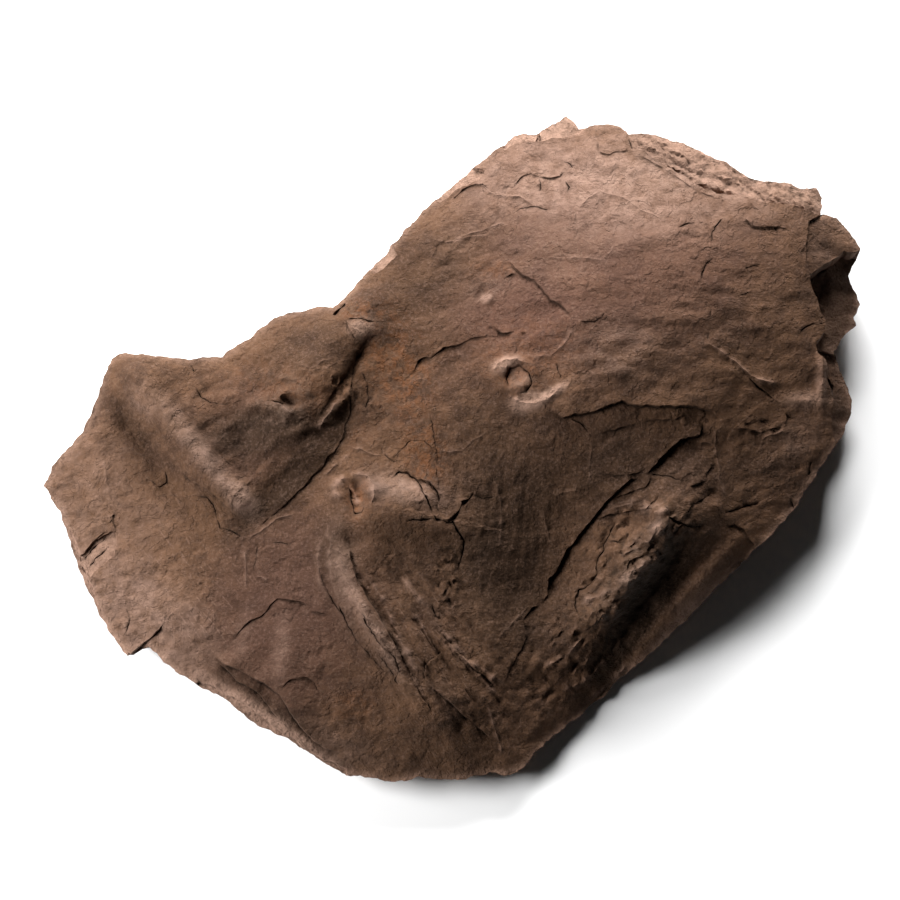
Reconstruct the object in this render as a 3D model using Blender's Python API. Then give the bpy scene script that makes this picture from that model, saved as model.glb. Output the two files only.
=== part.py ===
"""Fossil dinosaur footprint: a slab of siltstone with the raised cast of a three-toed foot.

The slab lies on a flat underside, cast side up. X runs along its longest reach, Y up the
slab towards the heel, Z up. The origin is on the ground under the middle of the slab.
Plan places, widths and heights are in millimetres; MM turns them into metres at the end.
"""
import math

import bmesh
import bpy
import numpy as np
from mathutils import Vector, noise
from mathutils.geometry import delaunay_2d_cdt

MM = 0.001
NAME = "footprint_slab"

# Driving sizes
SLAB_LENGTH = 608.0
SLAB_WIDTH = 498.0
EDGE_HEIGHT = 33.0
NET_SPACING = 11.0
RIM_SPACING = 10.0
CLIFF_WIDTH = 2.0
SHARP_EDGE = math.radians(35)

# The broken outline seen from above, clockwise from the left tip
LEFT_TOE_EDGE = [(-304, -30), (-297, -15), (-275, 11), (-264, 36), (-258, 58), (-254, 64), (-244, 68),
                 (-226, 66), (-211, 65), (-200, 62), (-172, 65), (-152, 79), (-134, 93), (-122, 96),
                 (-95, 100), (-89, 97)]
HEEL_LEFT_EDGE = [(-80, 106), (-65, 126), (-49, 144), (-33, 162), (-25, 172), (-3, 193), (9, 202),
                  (35, 224), (46, 233)]
HEEL_TOP_EDGE = [(53, 235), (62, 234), (73, 240), (80, 244), (86, 249), (89, 244), (93, 236),
                 (103, 239), (114, 239), (123, 238), (130, 233), (150, 233)]
ROUGH_BED_EDGE = [(162, 228), (179, 222), (191, 214), (202, 209), (213, 200), (225, 195), (246, 194),
                  (261, 189), (270, 191), (274, 183), (273, 169)]
RIGHT_LOBES_EDGE = [(284, 167), (300, 148), (302, 142), (295, 128), (298, 120), (304, 106), (299, 97),
                    (300, 90), (288, 79), (283, 70)]
RIGHT_EDGE = [(288, 58), (297, 36), (297, 26), (288, 6), (269, -20), (250, -50), (238, -63)]
RIGHT_TOE_EDGE = [(221, -80), (191, -109), (158, -143), (124, -171), (93, -199), (67, -219), (58, -229),
                  (54, -235), (49, -239)]
BOTTOM_EDGE = [(38, -244), (27, -241), (12, -246), (-10, -247), (-24, -245), (-43, -249), (-52, -247),
               (-78, -243), (-102, -230), (-121, -217)]
LOWER_LEFT_EDGE = [(-132, -213), (-148, -205), (-166, -189), (-185, -179), (-203, -169), (-219, -154),
                   (-224, -149), (-238, -158), (-244, -151), (-250, -142), (-261, -125), (-270, -107),
                   (-279, -86), (-286, -64), (-292, -49), (-300, -35)]
OUTLINE = (LEFT_TOE_EDGE + HEEL_LEFT_EDGE + HEEL_TOP_EDGE + ROUGH_BED_EDGE + RIGHT_LOBES_EDGE
           + RIGHT_EDGE + RIGHT_TOE_EDGE + BOTTOM_EDGE + LOWER_LEFT_EDGE)

# Crests: points along the crest, height, reach on the right hand of travel, reach on the left hand,
# and the share of the length over which each end dies out
LEFT_TOE_CREST = ([(-263, 82), (-239, 57), (-217, 29), (-199, 1), (-184, -20), (-162, -41), (-142, -64)],
                  19, 15, 26, 0.3)
LEFT_TOE_BACK = ([(-49, 129), (-71, 90), (-87, 65), (-104, 41), (-123, 19), (-142, -4), (-163, -25)],
                 20, 40, 28, 0.3)
MIDDLE_TOE_CREST = ([(-60, -1), (-74, -46), (-77, -79), (-69, -112), (-55, -140), (-35, -168), (-10, -200),
                     (31, -239)], 15, 19, 76, 0.25)
RIGHT_TOE_CREST = ([(186, -4), (177, -26), (162, -51), (146, -78), (125, -106), (103, -131), (79, -154),
                    (55, -176)], 21, 23, 22, 0.32)
SOLE_RIB = ([(1, -24), (12, -68), (19, -111), (28, -155), (37, -190)], 3, 10, 25, 0.3)
HEEL_FOOT_SWELL = ([(49, 30), (77, 19), (121, 24), (165, 23), (203, 14), (226, 1)], 3, 44, 44, 0.2)
CRESTS = [LEFT_TOE_CREST, LEFT_TOE_BACK, MIDDLE_TOE_CREST, RIGHT_TOE_CREST, SOLE_RIB, HEEL_FOOT_SWELL]
CREST_ROUNDING = 4.0

# Domes and hollows: centre, two reaches, turn of the first reach in degrees, height, fullness
HEEL_DOME = ((133, 91), 206, 141, 35, 53, 0.95)
HEEL_LEFT_SWELL = ((-60, 120), 90, 40, 50, 3, 1)
SOLE_HOLLOW = ((77, -110), 50, 74, 20, -21, 1)
LEFT_TIP_FALL = ((-262, -60), 60, 95, 20, -9, 1)
LOWER_PLATE = ((-119, -147), 111, 63, -40, 9, 1.2)
LEFT_TOE_TROUGH = ((-222, -6), 62, 13, -56, -7, 1)
LEFT_TOE_HOLLOW = ((-150, -4), 40, 20, 60, -5, 1)
MIDDLE_TOE_HEAD = ((-41, -53), 36, 17, -20, 9, 1)
MIDDLE_TOE_HOLLOW = ((-21, -103), 30, 33, -70, -2, 1)
BOTTOM_FALL = ((-30, -255), 150, 62, 0, -11, 1)
BOTTOM_FOLD = ((-118, -184), 52, 12, -85, 3, 1)
BOTTOM_RISE = ((1, -216), 37, 19, -40, 1, 1)
HEEL_PIT_RIM = ((46, 43), 17, 13, 20, 3, 2)
HEEL_PIT = ((46, 43), 9, 8, 20, -6, 1.5)
MIDDLE_TOE_PIT = ((-71, -44), 5, 13, 0, -4, 1.5)
LEFT_TOE_HOLE = ((-121, 27), 6, 5, 0, -6, 1.5)
LEFT_TOE_KNOB = ((-142, 25), 12, 5, -10, 3, 1)
DOMES = [HEEL_DOME, HEEL_LEFT_SWELL, SOLE_HOLLOW, LEFT_TIP_FALL, LOWER_PLATE, LEFT_TOE_TROUGH,
         LEFT_TOE_HOLLOW, MIDDLE_TOE_HEAD, MIDDLE_TOE_HOLLOW, BOTTOM_FALL, BOTTOM_FOLD, BOTTOM_RISE,
         HEEL_PIT_RIM, HEEL_PIT, MIDDLE_TOE_PIT, LEFT_TOE_HOLE, LEFT_TOE_KNOB]

# Broken steps, where the bed on the left hand of travel ends in a small cliff: points, rise of the
# high side and its reach, fall of the low side and its reach
TOE_STEP = ([(48, -148), (54, -137), (60, -124), (69, -113), (70, -103), (81, -83), (99, -62), (113, -46),
             (129, -32), (140, -31)], 1.5, 20, 6, 26)
HEEL_STEP = ([(67, 19), (79, 12), (90, 13), (106, 17), (123, 22), (139, 19), (173, 21), (189, 17),
              (201, 12)], 2, 50, 2, 60)
SOLE_STEP = ([(140, -29), (149, -18), (165, -4), (180, 1), (182, 10)], 1.5, 30, 2.5, 24)
LEFT_TOE_CREVICE = ([(-140, -62), (-113, -38), (-95, -19), (-81, 1), (-76, 22), (-75, 42), (-71, 62),
                     (-63, 74), (-57, 85)], 0.5, 12, 5, 16)
STEPS = [TOE_STEP, HEEL_STEP, SOLE_STEP, LEFT_TOE_CREVICE]
STEP_END = 0.16

# Low beds at the rim, where the skin has broken away: outline reaching past the slab, depth
ROUGH_BED = ([(131, 229), (146, 211), (160, 202), (172, 193), (183, 186), (194, 181), (213, 180),
              (227, 174), (250, 174), (272, 167), (301, 196), (240, 225), (161, 258), (128, 259)], 7)
FIRST_LOBE = ([(263, 161), (259, 143), (262, 120), (273, 128), (289, 140), (312, 143), (301, 181),
               (272, 167)], 3)
SECOND_LOBE = ([(262, 120), (266, 107), (269, 98), (274, 85), (273, 79), (266, 70), (284, 67),
                (314, 68), (318, 135), (312, 143), (289, 140), (273, 128)], 22)
RIGHT_LUMPS = ([(266, 70), (269, 61), (277, 52), (280, 35), (278, 15), (282, -4), (303, 1), (316, 35),
                (314, 68), (284, 67)], 26)
LOW_BEDS = [ROUGH_BED, FIRST_LOBE, SECOND_LOBE, RIGHT_LUMPS]

# The rim rolls over: fall and width of the roll all round, and a wider fall beside the right toe
RIM_FALL = 4.0
RIM_ROLL = 10.5
TOE_BRIM = ((124, -172), 80, 60, 48, 1, 1)
TOE_BRIM_FALL = 20.0
TOE_BRIM_ROLL = 28.0

# Broad unevenness of the bed: wavelength and height
SWELL_LENGTH = 45.0
SWELL_HEIGHT = 1.6

# The broken side, bed by bed: share of the way down, share of the way in to the foot outline
SIDE_RINGS = [(0.13, 0.02), (0.17, 0.16), (0.46, 0.10), (0.52, 0.34), (0.82, 0.42), (1.0, 1.0)]
SIDE_ROUGHNESS = 2.6
SIDE_WAVELENGTH = 34.0
FOOT_INSET = 15.0
FOOT_SMOOTHING = 14

STONE_COLOUR = (0.159, 0.084, 0.051)
STONE_ROUGHNESS = 0.62


def smooth_step(low, high, value):
    """Ease from 0 at low to 1 at high."""
    share = np.clip((value - low) / (high - low), 0.0, 1.0)
    return share * share * (3.0 - 2.0 * share)


def line_field(x, y, points):
    """Distance to a line of points, offset to its left hand, and the share of its length run."""
    corners = np.array(points, float)
    runs = corners[1:] - corners[:-1]
    lengths = np.hypot(runs[:, 0], runs[:, 1])
    starts = np.concatenate([[0.0], np.cumsum(lengths)])
    distance = np.full(x.shape, 1e9)
    offset = np.zeros(x.shape)
    share = np.zeros(x.shape)
    for corner, run, length, start in zip(corners, runs, lengths, starts):
        along = ((x - corner[0]) * run[0] + (y - corner[1]) * run[1]) / length
        across = (run[0] * (y - corner[1]) - run[1] * (x - corner[0])) / length
        held = np.clip(along, 0.0, length)
        reach = np.hypot(along - held, across)
        nearer = reach < distance
        distance = np.where(nearer, reach, distance)
        offset = np.where(nearer, across, offset)
        share = np.where(nearer, (start + held) / starts[-1], share)
    return distance, offset, share


def inside(x, y, points):
    """True for places inside a closed outline."""
    within = np.zeros(x.shape, bool)
    for (x0, y0), (x1, y1) in zip(points, points[1:] + points[:1]):
        if y0 != y1:
            crosses = (y0 > y) != (y1 > y)
            within ^= crosses & (x < (x1 - x0) * (y - y0) / (y1 - y0) + x0)
    return within


def depth_inside(x, y, points):
    """Distance to a closed outline, positive inside it and negative outside."""
    distance, _, _ = line_field(x, y, points + points[:1])
    return np.where(inside(x, y, points), distance, -distance)


def crest_height(x, y, crest):
    """A fold with its own reach to each side of the crest line."""
    points, height, right_reach, left_reach, end_share = crest
    distance, offset, share = line_field(x, y, points)
    leftness = smooth_step(-1.0, 1.0, offset / (CREST_ROUNDING + 0.6 * distance))
    reach = right_reach + (left_reach - right_reach) * leftness
    ends = smooth_step(0.0, end_share, share) * smooth_step(0.0, end_share, 1.0 - share)
    rounded = np.sqrt(distance ** 2 + CREST_ROUNDING ** 2) - CREST_ROUNDING
    return height * ends * np.exp(-(rounded / reach) ** 1.4)


def dome_height(x, y, dome):
    """An oval dome, or a hollow where its height is negative."""
    centre, long_reach, short_reach, turn, height, fullness = dome
    angle = math.radians(turn)
    along = (x - centre[0]) * math.cos(angle) + (y - centre[1]) * math.sin(angle)
    across = (y - centre[1]) * math.cos(angle) - (x - centre[0]) * math.sin(angle)
    span = (along / long_reach) ** 2 + (across / short_reach) ** 2
    return height * np.exp(-span ** fullness)


def step_height(x, y, step):
    """A bed that rises to a broken edge, and the lower bed that falls to the foot of that edge."""
    points, rise, rise_reach, fall, fall_reach = step
    distance, offset, share = line_field(x, y, points)
    ends = smooth_step(0.0, STEP_END, share) * smooth_step(0.0, STEP_END, 1.0 - share)
    high = smooth_step(-CLIFF_WIDTH / 2, CLIFF_WIDTH / 2, offset)
    raised = rise * high * np.exp(-(distance / rise_reach) ** 1.3)
    lowered = fall * (1.0 - high) * np.exp(-(distance / fall_reach) ** 1.3)
    return ends * (raised - lowered)


def swell(x, y, length, seed):
    """Smooth, repeatable unevenness between about -1 and 1."""
    places = zip(np.ravel(x) / length, np.ravel(y) / length)
    return np.array([noise.noise(Vector((u, v, seed))) for u, v in places]).reshape(x.shape)


def top_height(x, y):
    """Height of the cast side above the ground at a place in plan."""
    height = np.full(x.shape, EDGE_HEIGHT)
    to_rim = np.abs(depth_inside(x, y, OUTLINE))
    brim = dome_height(x, y, TOE_BRIM)
    height -= RIM_FALL * np.exp(-(to_rim / RIM_ROLL) ** 1.5)
    height -= TOE_BRIM_FALL * brim * np.exp(-to_rim / TOE_BRIM_ROLL)
    for dome in DOMES:
        height += dome_height(x, y, dome)
    for crest in CRESTS:
        height += crest_height(x, y, crest)
    for step in STEPS:
        height += step_height(x, y, step)
    for points, depth in LOW_BEDS:
        fallen = smooth_step(-CLIFF_WIDTH / 2, CLIFF_WIDTH / 2, depth_inside(x, y, points))
        height -= depth * fallen
    return height + SWELL_HEIGHT * swell(x, y, SWELL_LENGTH, 3.7)


def divide(points, spacing, closed):
    """Add places along straight runs so that neighbours are about one spacing apart."""
    ends = points[1:] + points[:1] if closed else points[1:]
    places = []
    for (x0, y0), (x1, y1) in zip(points, ends):
        count = max(1, round(math.hypot(x1 - x0, y1 - y0) / spacing))
        places += [(x0 + (x1 - x0) * k / count, y0 + (y1 - y0) * k / count) for k in range(count)]
    if not closed:
        places.append(points[-1])
    return places


def side_line(places, offset):
    """The line moved sideways by an offset, to its left hand."""
    line = np.array(places, float)
    runs = np.gradient(line, axis=0)
    runs /= np.linalg.norm(runs, axis=1)[:, None]
    return line + offset * np.column_stack([-runs[:, 1], runs[:, 0]])


def net_lines():
    """Lip and foot of each small cliff, as lines that the net has to follow."""
    lines = []
    courses = [points for points, *_ in STEPS] + [points + points[:1] for points, _ in LOW_BEDS]
    for course in courses:
        places = divide(course, RIM_SPACING, closed=False)
        for offset in (-CLIFF_WIDTH / 2, CLIFF_WIDTH / 2):
            moved = side_line(places, offset)
            kept = depth_inside(moved[:, 0], moved[:, 1], OUTLINE) > CLIFF_WIDTH
            lines.append((moved, kept))
    return lines


def net_points(lines):
    """Staggered places inside the outline, clear of the rim and of the cliff lines."""
    across = np.arange(-SLAB_LENGTH / 2, SLAB_LENGTH / 2, NET_SPACING)
    down = np.arange(-SLAB_WIDTH / 2, SLAB_WIDTH / 2, NET_SPACING * math.sqrt(3) / 2)
    x, y = np.meshgrid(across, down)
    x[1::2] += NET_SPACING / 2
    x, y = x.ravel(), y.ravel()
    keep = depth_inside(x, y, OUTLINE) > NET_SPACING * 0.5
    for moved, kept in lines:
        course = moved[kept]
        if len(course) > 1:
            distance, _, _ = line_field(x, y, course)
            keep &= distance > NET_SPACING * 0.45
    return np.column_stack([x[keep], y[keep]])


def cast_side():
    """Net the cast side: a triangle mesh held to the rim and to the cliff lines."""
    rim = divide(OUTLINE, RIM_SPACING, closed=True)[::-1]
    places = [Vector(place) for place in rim]
    edges = []
    lines = net_lines()
    for moved, kept in lines:
        first = len(places)
        places += [Vector(place) for place in moved]
        edges += [(first + k, first + k + 1) for k in range(len(moved) - 1) if kept[k] and kept[k + 1]]
    places += [Vector(place) for place in net_points(lines)]
    net = delaunay_2d_cdt(places, edges, [list(range(len(rim)))], 1, 0.01)
    return len(rim), net[0], net[2]


def foot_outline(rim):
    """Outline of the flat underside: the rim smoothed, then drawn in; also the ways outward."""
    smoothed = rim.copy()
    for _ in range(FOOT_SMOOTHING):
        smoothed = (np.roll(smoothed, 1, 0) + 2 * smoothed + np.roll(smoothed, -1, 0)) / 4
    runs = np.roll(smoothed, -1, 0) - np.roll(smoothed, 1, 0)
    runs /= np.linalg.norm(runs, axis=1)[:, None]
    outward = np.column_stack([runs[:, 1], -runs[:, 0]])
    return smoothed - FOOT_INSET * outward, outward


def extrude_ring(form, ring, places):
    """Extrude a closed ring of vertices and put its copies in their places."""
    edges = [form.edges.get((vertex, ring[k - 1])) for k, vertex in enumerate(ring)]
    grown = bmesh.ops.extrude_edge_only(form, edges=edges)["geom"]
    fresh = {item for item in grown if isinstance(item, bmesh.types.BMVert)}
    lowered = []
    for vertex, place in zip(ring, places):
        copy = next(edge.other_vert(vertex) for edge in vertex.link_edges if edge.other_vert(vertex) in fresh)
        copy.co = place
        lowered.append(copy)
    return lowered


def build_slab():
    """Net the cast side, extrude its rim down the broken side and close the flat underside."""
    rim_count, places, faces = cast_side()
    x = np.array([place.x for place in places])
    y = np.array([place.y for place in places])
    z = top_height(x, y)

    form = bmesh.new()
    vertices = [form.verts.new(place) for place in zip(x, y, z)]
    for face in faces:
        form.faces.new([vertices[index] for index in face])
    loose = [vertex for vertex in form.verts if not vertex.link_faces]
    bmesh.ops.delete(form, geom=loose, context="VERTS")

    ring = vertices[:rim_count]
    rim = np.column_stack([x, y])[:rim_count]
    rim_z = z[:rim_count]
    foot, outward = foot_outline(rim)
    for level, (down, inward) in enumerate(SIDE_RINGS):
        course = rim + (foot - rim) * inward
        if down < 1.0:
            rough = SIDE_ROUGHNESS * swell(rim[:, 0], rim[:, 1], SIDE_WAVELENGTH, 11.0 + level)
            course = course + outward * np.minimum(rough, SIDE_ROUGHNESS * 0.2)[:, None]
        heights = rim_z * (1.0 - down)
        ring = extrude_ring(form, ring, [Vector(place) for place in zip(course[:, 0], course[:, 1], heights)])

    edges = [form.edges.get((vertex, ring[k - 1])) for k, vertex in enumerate(ring)]
    underside = bmesh.ops.contextual_create(form, geom=edges)["faces"]
    bmesh.ops.triangulate(form, faces=underside)
    bmesh.ops.recalc_face_normals(form, faces=form.faces)
    bmesh.ops.scale(form, vec=(MM, MM, MM), verts=form.verts)

    mesh = bpy.data.meshes.new(NAME)
    form.to_mesh(mesh)
    form.free()
    mesh.shade_smooth()
    mesh.set_sharp_from_angle(angle=SHARP_EDGE)
    return bpy.data.objects.new(NAME, mesh)


def siltstone():
    """Brown siltstone, dull with a faint satin polish on the old bedding skin."""
    stone = bpy.data.materials.new("siltstone")
    stone.use_nodes = True
    shader = stone.node_tree.nodes["Principled BSDF"]
    shader.inputs["Base Color"].default_value = (*STONE_COLOUR, 1.0)
    shader.inputs["Roughness"].default_value = STONE_ROUGHNESS
    shader.inputs["Metallic"].default_value = 0.0
    return stone


def main():
    for old in list(bpy.data.objects):
        bpy.data.objects.remove(old, do_unlink=True)
    parts = bpy.data.collections.new("dinosaur_footprint")
    bpy.context.scene.collection.children.link(parts)
    slab = build_slab()
    slab.data.materials.append(siltstone())
    parts.objects.link(slab)


main()
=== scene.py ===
# %% [markdown]
# A fossil dinosaur footprint, seen from almost straight above.
#
# The real object is a loose slab of red-brown siltstone. Sand or silt once filled a three-toed
# track, and the filling turned to stone, so the foot stands up from the slab in raised relief:
# a broad heel dome at the upper right, and three toes at the lower left. This lesson loads the
# plain solid of the slab and dresses it: a finer stone with its ledges, flakes, cracks and grain,
# its finish, a pale floor, soft light and a camera.

import math

import bpy
import numpy as np
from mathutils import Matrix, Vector, kdtree, noise
from mathutils.geometry import delaunay_2d_cdt


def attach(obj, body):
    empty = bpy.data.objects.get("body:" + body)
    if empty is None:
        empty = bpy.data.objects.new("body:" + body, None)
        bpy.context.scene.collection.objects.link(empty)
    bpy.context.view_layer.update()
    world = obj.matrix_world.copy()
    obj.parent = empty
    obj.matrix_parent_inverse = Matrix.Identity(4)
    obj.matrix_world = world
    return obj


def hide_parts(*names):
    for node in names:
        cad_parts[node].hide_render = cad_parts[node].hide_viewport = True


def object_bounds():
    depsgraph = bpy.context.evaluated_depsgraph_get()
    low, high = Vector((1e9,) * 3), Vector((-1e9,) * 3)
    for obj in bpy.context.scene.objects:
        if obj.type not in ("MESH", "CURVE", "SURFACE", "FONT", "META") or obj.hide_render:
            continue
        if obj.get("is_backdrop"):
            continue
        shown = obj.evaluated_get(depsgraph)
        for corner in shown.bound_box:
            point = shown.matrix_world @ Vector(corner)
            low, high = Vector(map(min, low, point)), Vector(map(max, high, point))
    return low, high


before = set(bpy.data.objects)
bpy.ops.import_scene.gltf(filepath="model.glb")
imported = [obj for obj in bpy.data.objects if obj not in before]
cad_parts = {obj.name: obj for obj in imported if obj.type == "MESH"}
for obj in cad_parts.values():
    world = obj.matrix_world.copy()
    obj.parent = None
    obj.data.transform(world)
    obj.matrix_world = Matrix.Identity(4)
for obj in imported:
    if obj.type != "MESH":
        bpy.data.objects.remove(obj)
cad_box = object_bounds()
MM = 0.001
print("solid's box in metres:", cad_box)

# %% [markdown]
# The driving places of the slab, in millimetres, are the solid's own: its broken outline, the
# crests of the toes, the domes and hollows, the broken steps and the low beds at the rim. The
# finer stone grows from the same forms, so it lies where the solid lies.

# %% Outline of the slab
NODE = "footprint_slab"
SLAB_LENGTH = 608.0
SLAB_WIDTH = 498.0
EDGE_HEIGHT = 31.6
LEFT_TOE_EDGE = [(-304, -30), (-297, -15), (-275, 11), (-264, 36), (-258, 58), (-254, 64), (-244, 68),
                 (-226, 66), (-211, 65), (-200, 62), (-172, 65), (-152, 79), (-134, 93), (-122, 96),
                 (-95, 100), (-89, 97)]
HEEL_LEFT_EDGE = [(-80, 106), (-65, 126), (-49, 144), (-33, 162), (-25, 172), (-3, 193), (9, 202),
                  (35, 224), (46, 233)]
HEEL_TOP_EDGE = [(53, 235), (62, 234), (73, 240), (80, 244), (86, 249), (89, 244), (93, 236),
                 (103, 239), (114, 239), (123, 238), (130, 233), (150, 233)]
ROUGH_BED_EDGE = [(162, 228), (179, 222), (191, 214), (202, 209), (213, 200), (225, 195), (246, 194),
                  (261, 189), (270, 191), (274, 183), (273, 169)]
RIGHT_LOBES_EDGE = [(284, 167), (300, 148), (302, 142), (295, 128), (298, 120), (304, 106), (299, 97),
                    (300, 90), (288, 79), (283, 70)]
RIGHT_EDGE = [(288, 58), (297, 36), (297, 26), (288, 6), (269, -20), (250, -50), (238, -63)]
RIGHT_TOE_EDGE = [(221, -80), (191, -109), (158, -143), (124, -171), (93, -199), (67, -219), (58, -229),
                  (54, -235), (49, -239)]
BOTTOM_EDGE = [(38, -244), (27, -241), (12, -246), (-10, -247), (-24, -245), (-43, -249), (-52, -247),
               (-78, -243), (-102, -230), (-121, -217)]
LOWER_LEFT_EDGE = [(-132, -213), (-148, -205), (-166, -189), (-185, -179), (-203, -169), (-219, -154),
                   (-224, -149), (-238, -158), (-244, -151), (-250, -142), (-261, -125), (-270, -107),
                   (-279, -86), (-286, -64), (-292, -49), (-300, -35)]
OUTLINE = (LEFT_TOE_EDGE + HEEL_LEFT_EDGE + HEEL_TOP_EDGE + ROUGH_BED_EDGE + RIGHT_LOBES_EDGE
           + RIGHT_EDGE + RIGHT_TOE_EDGE + BOTTOM_EDGE + LOWER_LEFT_EDGE)
print("outline corners:", len(OUTLINE))

# %% Crests of the toes: points, height, reach on the right and on the left hand, end share
LEFT_TOE_CREST = ([(-263, 82), (-239, 57), (-217, 29), (-199, 1), (-184, -20), (-162, -41), (-142, -64)],
                  19, 15, 26, 0.3)
LEFT_TOE_BACK = ([(-49, 129), (-71, 90), (-87, 65), (-104, 41), (-123, 19), (-142, -4), (-163, -25)],
                 20, 40, 28, 0.3)
MIDDLE_TOE_CREST = ([(-60, -1), (-74, -46), (-77, -79), (-69, -112), (-55, -140), (-35, -168), (-10, -200),
                     (31, -239)], 15, 19, 76, 0.25)
RIGHT_TOE_CREST = ([(186, -4), (177, -26), (162, -51), (146, -78), (125, -106), (103, -131), (79, -154),
                    (55, -176)], 21, 23, 22, 0.32)
SOLE_RIB = ([(1, -24), (12, -68), (19, -111), (28, -155), (37, -190)], 3, 10, 25, 0.3)
HEEL_FOOT_SWELL = ([(49, 30), (77, 19), (121, 24), (165, 23), (203, 14), (226, 1)], 3, 44, 44, 0.2)
CRESTS = [LEFT_TOE_CREST, LEFT_TOE_BACK, MIDDLE_TOE_CREST, RIGHT_TOE_CREST, SOLE_RIB, HEEL_FOOT_SWELL]
CREST_ROUNDING = 4.0
CREST_FADE = 1.4
print("crests:", len(CRESTS))

# %% Domes and hollows: centre, two reaches, turn in degrees, height, fullness
DOMES = {
    "heel": ((133, 91), 206, 141, 35, 53, 0.95),
    "heel left swell": ((-60, 120), 90, 40, 50, 3, 1),
    "sole hollow": ((77, -110), 50, 74, 20, -21, 1),
    "left tip fall": ((-262, -60), 60, 95, 20, -9, 1),
    "lower plate": ((-119, -147), 111, 63, -40, 9, 1.2),
    "left toe trough": ((-222, -6), 62, 13, -56, -7, 1),
    "left toe hollow": ((-150, -4), 40, 20, 60, -5, 1),
    "middle toe head": ((-41, -53), 36, 17, -20, 9, 1),
    "middle toe hollow": ((-21, -103), 30, 33, -70, -2, 1),
    "bottom fall": ((-30, -255), 150, 62, 0, -11, 1),
    "bottom fold": ((-118, -184), 52, 12, -85, 3, 1),
    "bottom rise": ((1, -216), 37, 19, -40, 1, 1),
    "heel pit rim": ((46, 43), 17, 13, 20, 3, 2),
    "heel pit": ((46, 43), 9, 8, 20, -6, 1.5),
    "middle toe pit": ((-71, -44), 5, 13, 0, -4, 1.5),
    "left toe hole": ((-121, 27), 6, 5, 0, -6, 1.5),
    "left toe knob": ((-142, 25), 12, 5, -10, 3, 1),
}
RIM_FALL = 4.0
RIM_ROLL = 10.5
TOE_BRIM = ((124, -172), 80, 60, 48, 1, 1)
TOE_BRIM_FALL = 20.0
TOE_BRIM_ROLL = 28.0
SWELL_LENGTH = 45.0
SWELL_HEIGHT = 1.6
print("domes and hollows:", len(DOMES))

# %% Broken steps and low beds
# Each step: points, rise of the high side in mm and its reach, fall of the low side and its reach
STEPS = {
    "toe step": ([(64, -121), (69, -113), (70, -103), (81, -83), (99, -62), (113, -46), (129, -32),
                  (140, -31)], 1.0, 20, 3.0, 20),
    "heel step": ([(67, 19), (79, 12), (90, 13), (106, 17), (123, 22), (139, 19), (173, 21), (189, 17),
                   (201, 12)], 2, 50, 2, 60),
    "sole step": ([(140, -29), (149, -18), (165, -4), (180, 1), (182, 10)], 1.5, 30, 2.5, 24),
    "left toe crevice": ([(-140, -62), (-113, -38), (-95, -19), (-81, 1), (-76, 22), (-75, 42), (-71, 62),
                          (-63, 74), (-57, 85)], 0.4, 12, 0.7, 12),
}
STEP_END = 0.16
# Each low bed: closed line of points, depth in mm, share of fresh stone
LOW_BEDS = {
    "rough bed": ([(131, 229), (146, 211), (160, 202), (172, 193), (183, 186), (194, 181), (213, 180),
                   (227, 174), (250, 174), (272, 167), (301, 196), (240, 225), (161, 258), (128, 259)],
                  7, 0.62),
    "first lobe": ([(263, 161), (259, 143), (262, 120), (273, 128), (289, 140), (312, 143), (301, 181),
                    (272, 167)], 3, 0.05),
    "second lobe": ([(262, 120), (266, 107), (269, 98), (274, 85), (273, 79), (266, 70), (284, 67),
                     (314, 68), (318, 135), (312, 143), (289, 140), (273, 128)], 22, 0.25),
    "right lumps": ([(266, 70), (269, 61), (277, 52), (280, 35), (278, 15), (282, -4), (303, 1), (316, 35),
                     (314, 68), (284, 67)], 26, 0.15),
}
print("steps and low beds:", len(STEPS), len(LOW_BEDS))

# %% [markdown]
# Every form is a height over the plan. A crest is a fold that dies out to each side, a dome is an
# oval swelling, and a step is a bed that rises gently to a broken edge and stops there. Numpy
# works them out for all points at once, which an artist would do by hand with a sculpting brush.

# %% Height of the main forms
def smooth_step(low, high, value):
    """Ease from 0 at low to 1 at high."""
    share = np.clip((value - low) / (high - low), 0.0, 1.0)
    return share * share * (3.0 - 2.0 * share)


def taper(share, end_share):
    """Ease from 1 to 0 at both ends of a line, each over a share of its length."""
    return smooth_step(0.0, end_share, share) * smooth_step(0.0, end_share, 1.0 - share)


def line_field(x, y, points):
    """Distance to a line of points, offset to its left hand, and the share of its length run."""
    corners = np.array(points, float)
    runs = corners[1:] - corners[:-1]
    lengths = np.hypot(runs[:, 0], runs[:, 1])
    starts = np.concatenate([[0.0], np.cumsum(lengths)])
    distance = np.full(x.shape, 1e9)
    offset = np.zeros(x.shape)
    share = np.zeros(x.shape)
    for corner, run, length, start in zip(corners, runs, lengths, starts):
        along = ((x - corner[0]) * run[0] + (y - corner[1]) * run[1]) / length
        across = (run[0] * (y - corner[1]) - run[1] * (x - corner[0])) / length
        held = np.clip(along, 0.0, length)
        reach = np.hypot(along - held, across)
        nearer = reach < distance
        distance = np.where(nearer, reach, distance)
        offset = np.where(nearer, across, offset)
        share = np.where(nearer, (start + held) / starts[-1], share)
    return distance, offset, share


def depth_inside(x, y, points):
    """Distance to a closed outline, positive inside it and negative outside."""
    within = np.zeros(x.shape, bool)
    for (x0, y0), (x1, y1) in zip(points, points[1:] + points[:1]):
        if y0 != y1:
            crosses = (y0 > y) != (y1 > y)
            within ^= crosses & (x < (x1 - x0) * (y - y0) / (y1 - y0) + x0)
    distance, _, _ = line_field(x, y, points + points[:1])
    return np.where(within, distance, -distance)


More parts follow.
